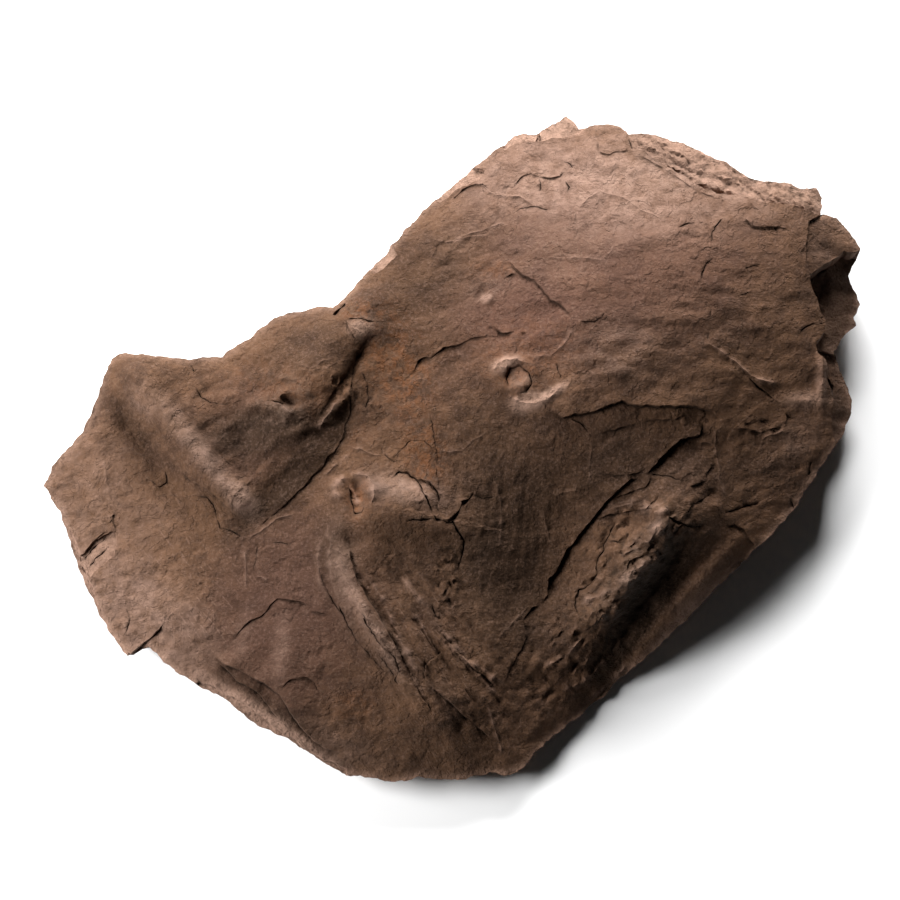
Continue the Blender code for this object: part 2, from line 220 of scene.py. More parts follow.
def crest_height(x, y, crest):
    """A fold with its own reach to each side of the crest line."""
    points, height, right_reach, left_reach, end_share = crest
    distance, offset, share = line_field(x, y, points)
    leftness = smooth_step(-1.0, 1.0, offset / (CREST_ROUNDING + 0.6 * distance))
    reach = right_reach + (left_reach - right_reach) * leftness
    rounded = np.sqrt(distance ** 2 + CREST_ROUNDING ** 2) - CREST_ROUNDING
    return height * taper(share, end_share) * np.exp(-(rounded / reach) ** CREST_FADE)


def dome_height(x, y, dome):
    """An oval dome, or a hollow where its height is negative."""
    centre, long_reach, short_reach, turn, height, fullness = dome
    angle = math.radians(turn)
    along = (x - centre[0]) * math.cos(angle) + (y - centre[1]) * math.sin(angle)
    across = (y - centre[1]) * math.cos(angle) - (x - centre[0]) * math.sin(angle)
    span = (along / long_reach) ** 2 + (across / short_reach) ** 2
    return height * np.exp(-span ** fullness)


def field(x, y, long, short, seed, turn=0.0, octaves=0):
    """Smooth, repeatable unevenness near -1 to 1, stretched along a direction in degrees."""
    angle = math.radians(turn)
    along = (np.ravel(x) * math.cos(angle) + np.ravel(y) * math.sin(angle)) / long
    across = (np.ravel(y) * math.cos(angle) - np.ravel(x) * math.sin(angle)) / short
    if octaves:
        values = [noise.fractal(Vector((u, v, seed)), 0.8, 2.1, octaves) for u, v in zip(along, across)]
    else:
        values = [noise.noise(Vector((u, v, seed))) for u, v in zip(along, across)]
    return np.array(values).reshape(np.shape(x))


def form_height(x, y):
    """The rounded forms, without any broken edge."""
    height = np.full(x.shape, EDGE_HEIGHT)
    to_rim = np.abs(depth_inside(x, y, OUTLINE))
    brim = dome_height(x, y, TOE_BRIM)
    height -= RIM_FALL * np.exp(-(to_rim / RIM_ROLL) ** 1.5)
    height -= TOE_BRIM_FALL * brim * np.exp(-to_rim / TOE_BRIM_ROLL)
    for dome in DOMES.values():
        height += dome_height(x, y, dome)
    for crest in CRESTS:
        height += crest_height(x, y, crest)
    return height + SWELL_HEIGHT * field(x, y, SWELL_LENGTH, SWELL_LENGTH, 3.7)


print("height in the middle of the heel, mm:", form_height(np.array([107.0]), np.array([82.0])))

# %% [markdown]
# The camera stands almost straight above the slab, a little on the toes' side, and far away, so
# the outline keeps its shape. Its place is fixed first, because the cracks and flakes below are
# listed by where they show in the picture, and a sight line from the camera finds each one's
# place on the stone.

# %% Camera
PICTURE_SIZE = 900
SENSOR = 36.0
LENS = 118.9
CAMERA_DISTANCE = 2200.0
CAMERA_ELEVATION = math.radians(80)
TARGET = np.array([-2.6, -4.3, 28.0])
sight_line = np.array([0.0, math.cos(CAMERA_ELEVATION), -math.sin(CAMERA_ELEVATION)])
picture_up = np.array([0.0, math.sin(CAMERA_ELEVATION), math.cos(CAMERA_ELEVATION)])
camera_place = TARGET - CAMERA_DISTANCE * sight_line
FIRST_GUESS_HEIGHT = 46.0
SIGHT_ROUNDS = 4

bpy.ops.object.camera_add(location=camera_place * MM, rotation=(math.radians(90) - CAMERA_ELEVATION, 0, 0))
camera = bpy.context.object
camera.name = "camera"
camera.data.lens = LENS
camera.data.sensor_width = SENSOR
bpy.context.scene.camera = camera


def on_stone(pixels):
    """Places on the stone, in millimetres of plan, of points given in pixels of the picture."""
    spots = np.array(pixels, float)
    right = (spots[:, 0] - PICTURE_SIZE / 2) / PICTURE_SIZE * SENSOR / LENS
    up = (PICTURE_SIZE / 2 - spots[:, 1]) / PICTURE_SIZE * SENSOR / LENS
    ray = sight_line + right[:, None] * np.array([1.0, 0.0, 0.0]) + up[:, None] * picture_up
    height = np.full(len(spots), FIRST_GUESS_HEIGHT)
    for _ in range(SIGHT_ROUNDS):
        reach = (height - camera_place[2]) / ray[:, 2]
        x = camera_place[0] + reach * ray[:, 0]
        y = camera_place[1] + reach * ray[:, 1]
        height = form_height(x, y)
    return np.column_stack([x, y])


# Millimetres of the stone that one pixel of the picture covers
PIXEL = 0.74
print("middle of the picture lies on the stone at, mm:", on_stone([(450, 450)]))

# %% [markdown]
# Lines of the skin, in pixels of the picture. A flake edge is where a thin bed of the skin ends:
# the left hand of travel stands higher. A crack is a narrow open joint. A vein is a thin raised
# line where harder stone filled a joint.

# %% Flake edges: pixels, height in mm, reach of the rise in mm
FLAKES = {
    "heel second bed": ([(590, 441), (600, 433), (625, 427), (650, 420), (675, 419), (690, 412)], 1.0, 14),
    "heel bed spur": ([(588, 432), (580, 423), (570, 418)], 1.2, 8),
    "heel foot": ([(600, 473), (615, 475), (630, 475), (645, 471)], 1.2, 10),
    "sole spur": ([(700, 441), (712, 443)], 1.0, 8),
    "toe inner": ([(610, 500), (630, 492), (645, 488), (650, 480), (648, 474)], 1.4, 8),
    "toe low": ([(503, 690), (510, 668), (520, 652), (527, 637), (522, 620), (532, 609), (547, 600)], 1.6, 9),
    "toe head": ([(687, 488), (695, 485), (705, 480), (708, 472), (715, 462)], 1.6, 10),
    "toe head low": ([(686, 518), (692, 508), (700, 501), (706, 500)], 1.4, 8),
    "sole notch": ([(412, 375), (418, 362), (425, 357), (432, 357), (443, 348), (455, 346), (475, 338),
                    (490, 335)], 2.2, 18),
    "heel notch": ([(486, 326), (495, 328), (503, 333), (515, 332), (528, 333)], 1.6, 9),
    "right bed": ([(735, 430), (745, 428), (760, 432), (775, 428), (785, 427)], 1.6, 10),
    "right bed upper": ([(742, 424), (760, 420), (772, 421)], 1.0, 6),
    "right bed end": ([(785, 428), (787, 418), (783, 405)], 1.6, 8),
    "top plate": ([(745, 222), (752, 226), (765, 228), (780, 226), (790, 230)], 1.2, 12),
    "lower left skin": ([(205, 648), (225, 665), (240, 670), (255, 680), (272, 688), (282, 698),
                         (290, 712), (308, 735), (325, 748), (346, 757)], 3.4, 22),
    "lower left bed": ([(214, 660), (222, 665), (238, 682), (257, 691), (270, 708), (282, 722)], 2.4, 7),
    "left toe flank break": ([(320, 418), (330, 398), (346, 372), (361, 350), (376, 331)], 1.5, 9),
    "left toe chip": ([(346, 320), (350, 330), (357, 340)], 1.6, 7),
    "left toe foot": ([(238, 536), (258, 526), (280, 510), (298, 494), (310, 479), (326, 462), (345, 444)],
                      0.6, 9),
    "tip notch": ([(80, 562), (88, 548), (100, 536), (112, 528)], 0.8, 9),
    "tip arc": ([(115, 530), (112, 522), (115, 512)], 1.0, 6),
    "corner plate": ([(122, 662), (130, 655), (142, 645), (158, 631), (164, 625)], 5.5, 16),
    "heel upper flake": ([(513, 187), (520, 178), (530, 173), (540, 177), (550, 178), (560, 176),
                          (565, 169)], 1.3, 9),
    "heel left flake": ([(452, 200), (462, 190), (475, 184), (483, 184), (490, 190)], 1.2, 9),
    "heel corner flake": ([(598, 140), (599, 152), (610, 155), (617, 152), (625, 151), (632, 151)], 1.2, 8),
    "heel long flake": ([(500, 263), (510, 263), (517, 270), (522, 275), (535, 280), (545, 293),
                         (552, 301), (560, 304), (570, 315), (572, 320)], 1.8, 14),
    "heel long branch": ([(505, 278), (512, 274), (518, 274)], 1.0, 6),
    "middle toe band": ([(405, 664), (393, 643), (381, 621), (368, 600), (357, 580), (351, 562),
                         (349, 545)], 3.0, 11),
    "middle toe band low": ([(432, 712), (420, 694), (408, 674)], 1.8, 9),
    "middle toe split": ([(430, 685), (445, 697), (460, 712), (475, 724), (490, 737), (500, 747)], 2.2, 12),
    "middle toe split top": ([(443, 650), (435, 658), (425, 665), (424, 675), (430, 685)], 1.2, 7),
    "middle toe split right": ([(460, 655), (470, 665), (480, 672), (490, 680), (500, 690)], 1.6, 9),
    "middle toe head flake": ([(416, 477), (423, 480), (430, 482), (436, 488), (440, 498), (438, 507),
                               (440, 514)], 1.6, 7),
    "heel skin edge": ([(632, 152), (650, 161), (668, 171), (685, 183), (700, 192), (716, 198), (726, 202)],
                       0.6, 8),
    "top chip": ([(745, 218), (752, 226), (768, 228), (781, 226)], 1.4, 9),
    "left plate loop": ([(175, 465), (190, 480), (205, 487), (220, 500), (235, 515), (242, 525)], 1.2, 8),
    "lower plate flake": ([(231, 643), (240, 630), (250, 621), (262, 616), (272, 604), (277, 598),
                           (285, 600), (300, 601), (312, 611), (320, 613), (336, 616)], 1.2, 12),
    "toe lip": ([(594, 518), (606, 516), (618, 513), (630, 511), (646, 509), (652, 502), (659, 497)],
                1.8, 8),
    "toe loop side": ([(662, 534), (668, 524), (669, 512)], 2.0, 9),
    "toe ridge foot": ([(626, 573), (629, 562), (640, 557), (654, 552)], 1.6, 7),
    "toe arc": ([(725, 527), (735, 525), (745, 530), (750, 540), (757, 547)], 1.2, 8),
    "bottom arc": ([(280, 690), (290, 680), (305, 677), (315, 682), (320, 695)], 1.0, 9),
}

# %% Broken patches: closed line of pixels, depth in mm, share of fresh stone
BREAKS = {
    "lower left strip": ([(200, 681), (215, 688), (232, 696), (248, 707), (263, 718), (277, 729), (291, 738),
                          (306, 748), (322, 758), (346, 768), (346, 800), (250, 780), (180, 700)], 5, 1.0),
    "left strip": ([(58, 516), (66, 524), (74, 536), (79, 552), (85, 570), (92, 586), (101, 610),
                    (85, 630), (40, 560)], 4, 1.0),
    "tip notch": ([(79, 557), (90, 546), (103, 535), (112, 531), (118, 541), (112, 557), (100, 567),
                   (90, 577), (82, 568)], 2.4, 0.45),
    "top spike": ([(536, 142), (552, 138), (566, 138), (578, 136), (590, 124), (570, 105), (540, 120)],
                  3, 0.75),
    "upper left strip": ([(440, 202), (452, 193), (466, 186), (478, 180), (484, 170), (470, 165), (430, 195)],
                         3, 0.65),
    "heel left strip": ([(505, 150), (514, 144), (528, 141), (540, 141), (540, 125), (500, 135)], 2.4, 0.9),
    "notch strip": ([(376, 274), (386, 266), (397, 255), (392, 240), (366, 268)], 3, 0.65),
}

# %% Cracks: pixels, width and depth in mm
CRACKS = {
    "rough heel joint": ([(512, 215), (522, 208), (535, 207), (550, 209)], 1.0, 0.8),
    "heel corner joint": ([(628, 140), (631, 150)], 1.2, 1.4),
    "heel upper end": ([(564, 161), (573, 168)], 1.0, 0.9),
    "left toe joint": ([(196, 385), (200, 397), (210, 403), (232, 404), (242, 400)], 1.0, 0.9),
    "left toe joint end": ([(265, 400), (275, 402), (284, 404)], 1.4, 1.6),
    "left plate joint": ([(183, 504), (186, 497), (195, 494), (205, 496), (213, 505), (216, 520),
                          (220, 528), (232, 531), (240, 537), (233, 543)], 1.2, 1.2),
    "left plate hook": ([(150, 480), (160, 487), (168, 482), (165, 470)], 1.0, 0.9),
    "corner joint": ([(125, 608), (129, 618), (128, 630), (123, 638)], 1.0, 1.0),
    "lower plate branch": ([(336, 603), (345, 618)], 1.0, 0.8),
    "middle toe joint": ([(363, 618), (369, 629), (378, 641)], 1.2, 1.5),
    "middle toe joint low": ([(380, 655), (395, 678)], 1.0, 0.9),
    "middle toe joint side": ([(395, 657), (398, 668), (396, 680), (398, 685)], 1.3, 1.6),
    "rust strip left": ([(392, 479), (400, 472), (408, 473), (417, 480), (422, 490), (428, 502), (432, 512),
                         (435, 518)], 1.7, 2.2),
    "sole fork left": ([(432, 513), (437, 519), (444, 521), (452, 522), (458, 528), (464, 543)], 3.0, 3.0),
    "sole fork chips": ([(406, 523), (414, 520), (422, 521), (430, 518), (438, 518)], 1.2, 1.3),
    "sole fork right": ([(447, 523), (454, 519), (461, 508), (468, 499), (474, 490)], 2.8, 3.0),
    "sole fork tail": ([(469, 493), (480, 497), (495, 498)], 0.9, 0.7),
    "sole fork stem": ([(459, 528), (464, 541), (464, 548), (461, 558), (459, 572)], 1.8, 2.0),
    "sole upright": ([(431, 410), (433, 430), (436, 450), (437, 470), (440, 495)], 0.9, 0.7),
    "sole hook": ([(393, 460), (400, 450), (410, 442), (422, 440), (430, 445), (435, 452)], 0.9, 0.7),
    "sole hook side": ([(385, 455), (395, 462)], 0.9, 0.7),
    "rust joint": ([(360, 370), (367, 385), (368, 400), (364, 412)], 1.0, 0.9),
    "right toe joint": ([(619, 515), (614, 526), (608, 536), (605, 544), (604, 550), (598, 558), (597, 566),
                         (597, 574), (593, 582), (585, 587), (578, 590), (576, 598), (577, 610), (579, 620)],
                        1.5, 2.2),
    "toe head rim joint": ([(668, 517), (676, 522), (690, 526), (703, 528)], 1.4, 1.6),
    "toe head inner joint": ([(685, 516), (691, 507), (700, 501), (712, 493)], 1.4, 1.6),
    "toe wrinkle a": ([(609, 541), (616, 542), (621, 537)], 1.0, 1.0),
    "toe low joint": ([(585, 632), (594, 626), (604, 616)], 1.2, 1.4),
    "heel upright joint": ([(540, 178), (541, 185), (539, 192)], 0.9, 0.9),
    "heel small joint": ([(565, 181), (570, 187), (568, 194)], 1.0, 1.0),
    "heel end joint": ([(580, 322), (595, 322), (602, 318), (606, 314)], 1.2, 1.3),
    "ring slit": ([(348, 484), (349, 492), (351, 502), (355, 513), (361, 511), (364, 506)], 1.5, 2.0),
    "rust strip side": ([(423, 480), (430, 483), (436, 489), (440, 498)], 1.2, 1.2),
    "right toe head joint": ([(670, 517), (675, 522), (683, 523)], 1.1, 1.2),
    "right toe head branch": ([(670, 540), (680, 527), (685, 525)], 1.0, 1.0),
    "right toe wedge": ([(726, 512), (745, 507), (760, 503)], 2.2, 2.2),
    "heel dash a": ([(712, 308), (711, 315), (706, 318)], 1.0, 0.9),
    "heel dash b": ([(711, 327), (708, 335), (706, 340)], 1.0, 0.8),
    "heel dash c": ([(712, 242), (711, 232), (718, 225), (722, 218)], 1.2, 1.3),
    "heel arc joint": ([(702, 283), (703, 272), (707, 263), (714, 257)], 1.3, 1.5),
    "tip layer a": ([(84, 560), (91, 551), (99, 543), (106, 537)], 1.4, 1.3),
    "tip layer b": ([(89, 566), (97, 557), (106, 549)], 1.4, 1.2),
    "heel pit ring": ([(509, 388), (506, 378), (510, 369), (520, 366), (529, 372), (532, 383), (527, 392),
                       (517, 394)], 1.8, 1.8),
    "tip hook": ([(109, 523), (113, 519), (114, 514)], 1.8, 1.8),
    "middle toe slit": ([(337, 605), (341, 612), (345, 620)], 1.4, 1.8),
    "top edge joint": ([(192, 366), (193, 372)], 1.2, 1.6),
    "heel dash d": ([(680, 226), (690, 223), (697, 223)], 1.2, 1.2),
    "heel dash e": ([(745, 268), (752, 265), (762, 264)], 1.0, 0.8),
    "heel dash f": ([(740, 295), (752, 291)], 0.9, 0.7),
    "heel dash g": ([(608, 315), (605, 320), (601, 320)], 1.0, 0.8),
    "heel dash h": ([(598, 325), (592, 328)], 0.9, 0.7),
    "heel dash i": ([(555, 362), (558, 370), (562, 378)], 1.0, 0.9),
    "right vein joint": ([(748, 378), (760, 388), (770, 396), (779, 404)], 2.0, 2.4),
    "right rim joint": ([(800, 333), (808, 326), (815, 323), (825, 323)], 1.1, 1.2),
    "step tail": ([(650, 474), (665, 476), (680, 480)], 1.2, 1.2),
    "plate dash a": ([(272, 543), (290, 545)], 0.9, 0.7),
    "plate dash b": ([(257, 545), (256, 560), (254, 572)], 0.9, 0.6),
    "sole slot": ([(433, 605), (434, 612), (436, 618)], 2.0, 2.0),
    "toe crevice top": ([(335, 315), (341, 309), (346, 304)], 2.0, 3.0),
    "toe crevice side": ([(348, 318), (357, 319), (365, 320), (375, 322)], 1.4, 1.6),
    "right rim slot": ([(828, 377), (833, 388), (836, 400)], 2.4, 4.0),
    "lower right slot": ([(812, 462), (810, 468), (808, 475)], 1.6, 2.0),
    "lower right slot b": ([(790, 500), (793, 505), (795, 510)], 1.6, 2.0),
    "toe flank split": ([(318, 560), (322, 580), (331, 598), (344, 618), (356, 640), (372, 658),
                         (391, 678)], 0.8, 0.9),
    "satin split": ([(361, 612), (368, 626), (377, 640), (388, 652), (399, 662)], 0.9, 1.0),
}

# %% Veins: pixels, height and half width in mm
VEINS = {
    "right long vein": ([(703, 341), (720, 351), (735, 361), (745, 372), (758, 379), (772, 383),
                         (785, 385)], 1.5, 1.5),
    "heel foot vein": ([(592, 440), (590, 460), (589, 480), (585, 487)], 0.5, 0.9),
    "heel foot branch": ([(577, 480), (576, 490), (556, 493)], 0.5, 0.9),
    "sole upright vein": ([(543, 510), (547, 530), (550, 548)], 0.5, 0.9),
    "right upright vein": ([(716, 425), (715, 445), (718, 460), (720, 480), (722, 490), (726, 503)],
                           0.7, 1.0),
    "middle toe head vein": ([(345, 445), (360, 449), (375, 455), (385, 456)], 0.8, 1.1),
    "sole arc vein": ([(438, 450), (450, 452), (462, 450), (475, 440), (488, 430)], 0.6, 0.9),
    "heel left vein": ([(490, 193), (505, 197), (520, 197), (530, 203), (537, 206)], 0.6, 1.1),
    "heel side vein": ([(440, 245), (465, 238), (490, 234)], 0.6, 1.1),
    "heel wrinkle": ([(547, 257), (580, 258), (600, 259)], 0.4, 1.0),
    "notch vein": ([(408, 385), (415, 380), (428, 378)], 0.6, 1.0),
    "notch rib a": ([(463, 323), (470, 333)], 0.6, 1.1),
    "notch rib b": ([(455, 347), (465, 360)], 0.6, 1.1),
    "plate vein": ([(168, 490), (183, 506)], 0.7, 1.0),
    "lower left vein": ([(185, 600), (195, 615), (202, 630), (210, 645)], 0.8, 1.2),
    "lower left vein b": ([(214, 600), (214, 618), (213, 635)], 0.7, 1.1),
    "tip vein": ([(102, 455), (107, 480), (110, 500)], 0.8, 1.3),
    "burrow rod": ([(245, 548), (246, 570), (247, 590)], 1.1, 1.2),
    "burrow hook": ([(255, 576), (262, 577), (268, 582)], 0.8, 1.1),
    "right bed vein": ([(760, 440), (775, 434), (785, 430)], 0.8, 1.1),
    "flow a": ([(362, 566), (373, 583), (383, 600), (397, 632), (410, 660), (426, 686)], 1.0, 2.0),
    "flow b": ([(398, 572), (414, 592), (428, 610)], 1.1, 1.9),
    "flow c": ([(415, 612), (427, 636), (438, 655)], 1.1, 1.9),
    "flow d": ([(428, 616), (450, 640), (470, 660), (490, 676), (512, 689)], 1.3, 2.0),
    "toe back line a": ([(288, 359), (300, 365), (312, 368), (324, 361), (336, 357)], 0.5, 0.9),
    "toe back line b": ([(296, 370), (310, 371), (325, 367), (340, 362)], 0.4, 0.8),
    "toe back line c": ([(262, 368), (275, 376), (288, 380), (304, 379)], 0.4, 0.9),
    "toe back wrinkle a": ([(272, 402), (280, 405), (287, 411), (293, 415)], 1.6, 2.2),
    "toe back wrinkle b": ([(262, 420), (276, 423), (290, 420)], 0.9, 1.6),
    "flank ridge": ([(318, 431), (326, 418), (335, 406), (343, 396)], 2.0, 2.4),
    "loop left": ([(212, 424), (222, 420), (226, 432), (218, 442), (206, 440)], 0.6, 1.0),
    "bottom vein": ([(485, 700), (492, 720), (500, 745), (503, 758)], 1.0, 1.2),
    "middle toe low vein": ([(430, 630), (445, 645), (460, 660)], 0.7, 1.1),
    "flank fold a": ([(321, 535), (317, 560), (320, 585), (330, 602)], 1.0, 1.5),
    "flank fold b": ([(333, 530), (329, 558), (332, 585), (344, 606)], 1.0, 1.6),
    "crest fold": ([(350, 592), (362, 612), (378, 632), (397, 652), (407, 667), (421, 690),
                    (432, 710)], 0.6, 1.6),
    "toe foot ridge a": ([(245, 541), (262, 530), (276, 520), (300, 511)], 0.9, 1.2),
    "toe foot ridge b": ([(322, 478), (335, 466), (352, 452)], 0.9, 1.3),
    "ring rim left": ([(350, 477), (341, 480), (334, 486), (336, 494), (343, 502)], 2.6, 2.6),
    "ring lobe": ([(350, 484), (355, 494), (358, 506)], 1.8, 2.0),
    "ring rim right": ([(350, 476), (359, 474), (368, 477), (373, 485), (374, 495), (369, 506)], 2.8, 2.4),
    "heel cross vein": ([(430, 240), (445, 242), (462, 237), (480, 231), (502, 224), (515, 225)], 0.6, 1.0),
    "heel plate vein": ([(575, 222), (580, 206), (588, 198), (600, 192), (622, 197), (642, 210), (670, 221)],
                        0.6, 1.0),
    "heel low vein": ([(540, 262), (555, 255), (580, 257), (602, 260), (614, 247), (632, 241)], 0.35, 0.9),
    "heel arc vein": ([(572, 322), (570, 335), (562, 347), (550, 355), (530, 357)], 0.8, 1.2),
    "toe loop": ([(634, 514), (647, 508), (657, 505), (661, 512), (658, 524), (652, 538), (644, 548)],
                 2.4, 4.4),
    "toe ridge": ([(614, 588), (626, 580), (636, 570), (648, 562), (662, 560)], 3.0, 4.2),
    "toe ridge low": ([(580, 606), (592, 598), (606, 593), (622, 588)], 1.6, 3.4),
    "toe wrinkle b": ([(622, 548), (632, 545), (640, 538)], 1.3, 1.8),
    "toe wrinkle c": ([(618, 556), (630, 552), (641, 548)], 1.2, 1.7),
    "toe white vein": ([(596, 577), (601, 580), (605, 585)], 0.9, 1.0),
    "toe lip fold a": ([(602, 508), (620, 502), (640, 498)], 0.8, 1.3),
    "toe lip fold b": ([(598, 513), (616, 507), (636, 503)], 0.8, 1.3),
    "heel edge vein": ([(470, 184), (480, 184), (490, 192), (505, 196), (520, 197), (533, 205)], 0.7, 1.1),
    "sole side vein": ([(496, 480), (500, 500), (502, 525), (500, 550)], 0.7, 1.2),
    "sole low vein": ([(497, 640), (508, 628), (520, 615), (530, 606)], 0.8, 1.2),
    "low fold vein": ([(436, 632), (452, 648), (468, 664), (482, 680), (497, 694), (512, 706)], 1.2, 1.6),
    "flank wrinkle a": ([(560, 690), (580, 684), (596, 672), (606, 656)], 1.4, 2.0),
    "flank wrinkle b": ([(585, 700), (602, 690), (618, 676), (630, 660)], 1.4, 2.0),
    "flank wrinkle c": ([(540, 668), (556, 662), (572, 650), (584, 636)], 1.2, 1.8),
    "heel pit lip": ([(494, 374), (497, 364), (505, 360), (516, 359), (524, 364)], 1.4, 1.8),
    "heel pit rubble": ([(505, 395), (520, 402), (536, 404), (550, 397), (563, 386)], 1.6, 2.4),
    "toe swirl": ([(330, 522), (327, 535), (332, 548), (343, 555), (352, 551)], 0.7, 1.3),
}
print("flake edges, cracks, veins:", len(FLAKES), len(CRACKS), len(VEINS))

# %% Lumps and pits: pixel, two reaches in mm, turn in degrees, height in mm, fullness
LUMPS = {
    "bright pit": ((481, 293), 5, 3, 50, -2.4, 1),
    "bright pit lip": ((489, 300), 5, 3, 50, 2.4, 1),
    "smudge": ((488, 253), 9, 4, 10, -1.0, 1),
    "heel pit a": ((676, 227), 3.5, 2, 0, -1.3, 1),
    "heel pit b": ((690, 236), 6, 2.2, -10, -1.4, 1),
    "swell a": ((614, 341), 11, 4, 8, 2.6, 1),
    "swell b": ((648, 350), 8, 3, 5, 1.3, 1),
    "swell c": ((618, 374), 14, 4, 3, 2.4, 1),
    "swell d": ((720, 369), 10, 3, -10, 1.1, 1),
    "swell e": ((638, 243), 26, 7, 5, 1.3, 1),
    "swell f": ((560, 246), 16, 5, 8, 1.0, 1),
    "head shelf": ((402, 490), 18, 5, -12, 2.2, 1),
    "flank lump": ((341, 404), 13, 3.6, 54, 3.4, 1),
    "flank hollow": ((345, 415), 8, 5, 54, -3.4, 1),
    "flank slot": ((352, 370), 22, 5, 58, -4.0, 1),
    "toe back hollow": ((238, 443), 15, 8, 68, -3.0, 1),
    "toe back ridge": ((300, 432), 16, 3, 18, 1.6, 1),
    "toe back floor": ((284, 398), 6, 5, 0, 3.6, 1.5),
    "toe back pit": ((291, 401), 8, 3, -24, -3.0, 1.2),
    "toe back bulge": ((287, 415), 7, 4, 0, 2.6, 1),
    "toe knuckle": ((240, 497), 15, 9, -42, 3.4, 1.2),
    "trough slope": ((132, 425), 17, 8, -58, -3.0, 1),
    "heel pit floor": ((519, 380), 7, 7, 20, 2.6, 2.5),
    "heel pit scar": ((506, 364), 9, 5, 15, 1.6, 1.5),
    "fork wedge": ((418, 498), 10, 6, -50, 1.8, 1.5),
    "middle fold a": ((337, 572), 17, 4.6, -80, 2.6, 1),
    "middle fold b": ((352, 604), 16, 5, -62, 2.8, 1),
    "middle fold c": ((376, 640), 19, 5.5, -54, 3.0, 1),
    "middle fold d": ((402, 682), 18, 5, -62, 2.2, 1),
    "outer fold": ((320, 578), 18, 3, -86, 1.6, 1),
    "fold valley": ((330, 588), 20, 3, -76, -1.6, 1),
    "low fold a": ((446, 648), 17, 4, -56, 2.0, 1),
    "low fold b": ((480, 694), 20, 4, -52, 2.2, 1),
    "low fold c": ((418, 640), 22, 4, -58, 1.6, 1),
    "ring left": ((342, 490), 4, 9, 0, 2.0, 1),
    "ring hollow": ((355, 495), 8, 14, 12, -5.0, 1.5),
    "ring right": ((369, 492), 3.4, 9, 12, 2.0, 1),
    "ring nose": ((336, 527), 7, 10, 0, 3.0, 1),
    "ring mouth": ((350, 543), 4, 7, 30, -2.6, 1),
    "light plank": ((822, 376), 3.4, 19, 0, 4.5, 1.3),
    "lobe fold": ((843, 259), 20, 7, -34, -2.5, 1),
    "flank shelf": ((677, 617), 64, 10, 50, 7.5, 2),
    "flank fall": ((645, 598), 52, 8, 54, -5.0, 1.4),
    "crest satin": ((361, 604), 30, 5, -60, 2.4, 1.3),
    "flank head": ((697, 532), 30, 20, 50, 5.0, 1),
    "loop ridge": ((664, 520), 18, 5, 84, 3.5, 1.3),
    "loop dimple": ((632, 524), 6, 5, 0, -3.0, 1.5),
    "toe loop hollow": ((640, 526), 12, 7, 50, -2.8, 1),
    "toe dimple": ((630, 524), 3, 2.4, 0, -1.6, 1),
    "toe lip": ((606, 520), 26, 4, 52, 1.4, 1),
    "toe lump a": ((252, 409), 6, 3, 0, 1.4, 1),
    "toe lump b": ((268, 410), 5, 2.6, 0, 1.2, 1),
    "rubble a": ((459, 562), 4, 6, 0, -1.4, 1),
    "rubble b": ((461, 588), 4, 6, 0, -1.6, 1),
    "rubble c": ((449, 574), 4, 5, 0, 1.2, 1),
    "right pit": ((711, 495), 5, 4, 30, -2.2, 1),
    "right pit lip": ((717, 507), 4, 3, 30, 1.6, 1),
    "low pit": ((358, 650), 3, 4, 0, -1.4, 1),
    "ring dimple": ((210, 428), 8, 6, -50, -1.0, 1),
    "bottom knob": ((408, 757), 4, 4, 0, 1.6, 1),
    "slot pit": ((141, 382), 2.2, 7, -12, -2.2, 1),
    "toe crest a": ((648, 540), 9, 5, 60, 2.4, 1),
    "toe crest b": ((618, 552), 10, 6, -52, 2.2, 1),
    "toe crest c": ((654, 566), 13, 6.5, 36, 3.0, 1),
    "toe crest d": ((598, 616), 14, 8, 24, 4.4, 1.3),
    "toe crest e": ((632, 584), 11, 6, 40, 2.6, 1),
    "toe crest f": ((560, 640), 12, 7, -40, 1.6, 1),
    "toe crest g": ((540, 668), 10, 7, -30, 1.8, 1),
    "light ledge": ((806, 402), 18, 4, -4, 2.2, 1),
}

# %% [markdown]
# A broken line in stone is never straight. Each line gets small steps of its own from noise, and
# both the net and the heights use the same ragged line, so each little cliff is as sharp as a
# real flake edge instead of a smear across large faces.

# %% Ragged lines
LINE_SPACING = 1.4


def divide(points, spacing, closed=False):
    """Add places along straight runs so that neighbours are about one spacing apart."""
    line = [tuple(place) for place in points]
    ends = line[1:] + line[:1] if closed else line[1:]
    places = []
    for (x0, y0), (x1, y1) in zip(line, ends):
        count = max(1, round(math.hypot(x1 - x0, y1 - y0) / spacing))
        places += [(x0 + (x1 - x0) * k / count, y0 + (y1 - y0) * k / count) for k in range(count)]
    if not closed:
        places.append(line[-1])
    return np.array(places)


def ragged(points, raggedness, seed, closed=False, spacing=None):
    """The line, divided finely and shaken sideways by noise of several sizes."""
    line = divide(points, spacing or LINE_SPACING, closed)
    shake = [field(line[:, 0], line[:, 1], 9, 9, seed + turn, 0, 4) for turn in (0, 50)]
    return line + raggedness * np.column_stack(shake)


def uneven(line, seed, least=0.25):
    """A share for each place of a line that wanders between least and about 1.5."""
    return np.maximum(least, 0.85 + 1.3 * field(line[:, 0], line[:, 1], 6, 6, seed, 0, 2))


def beside(line, offset):
    """The line moved sideways by an offset, or one offset for each place, to its left hand."""
    runs = np.gradient(line, axis=0)
    runs /= np.maximum(np.linalg.norm(runs, axis=1), 1e-6)[:, None]
    return line + np.reshape(offset, (-1, 1)) * np.column_stack([-runs[:, 1], runs[:, 0]])


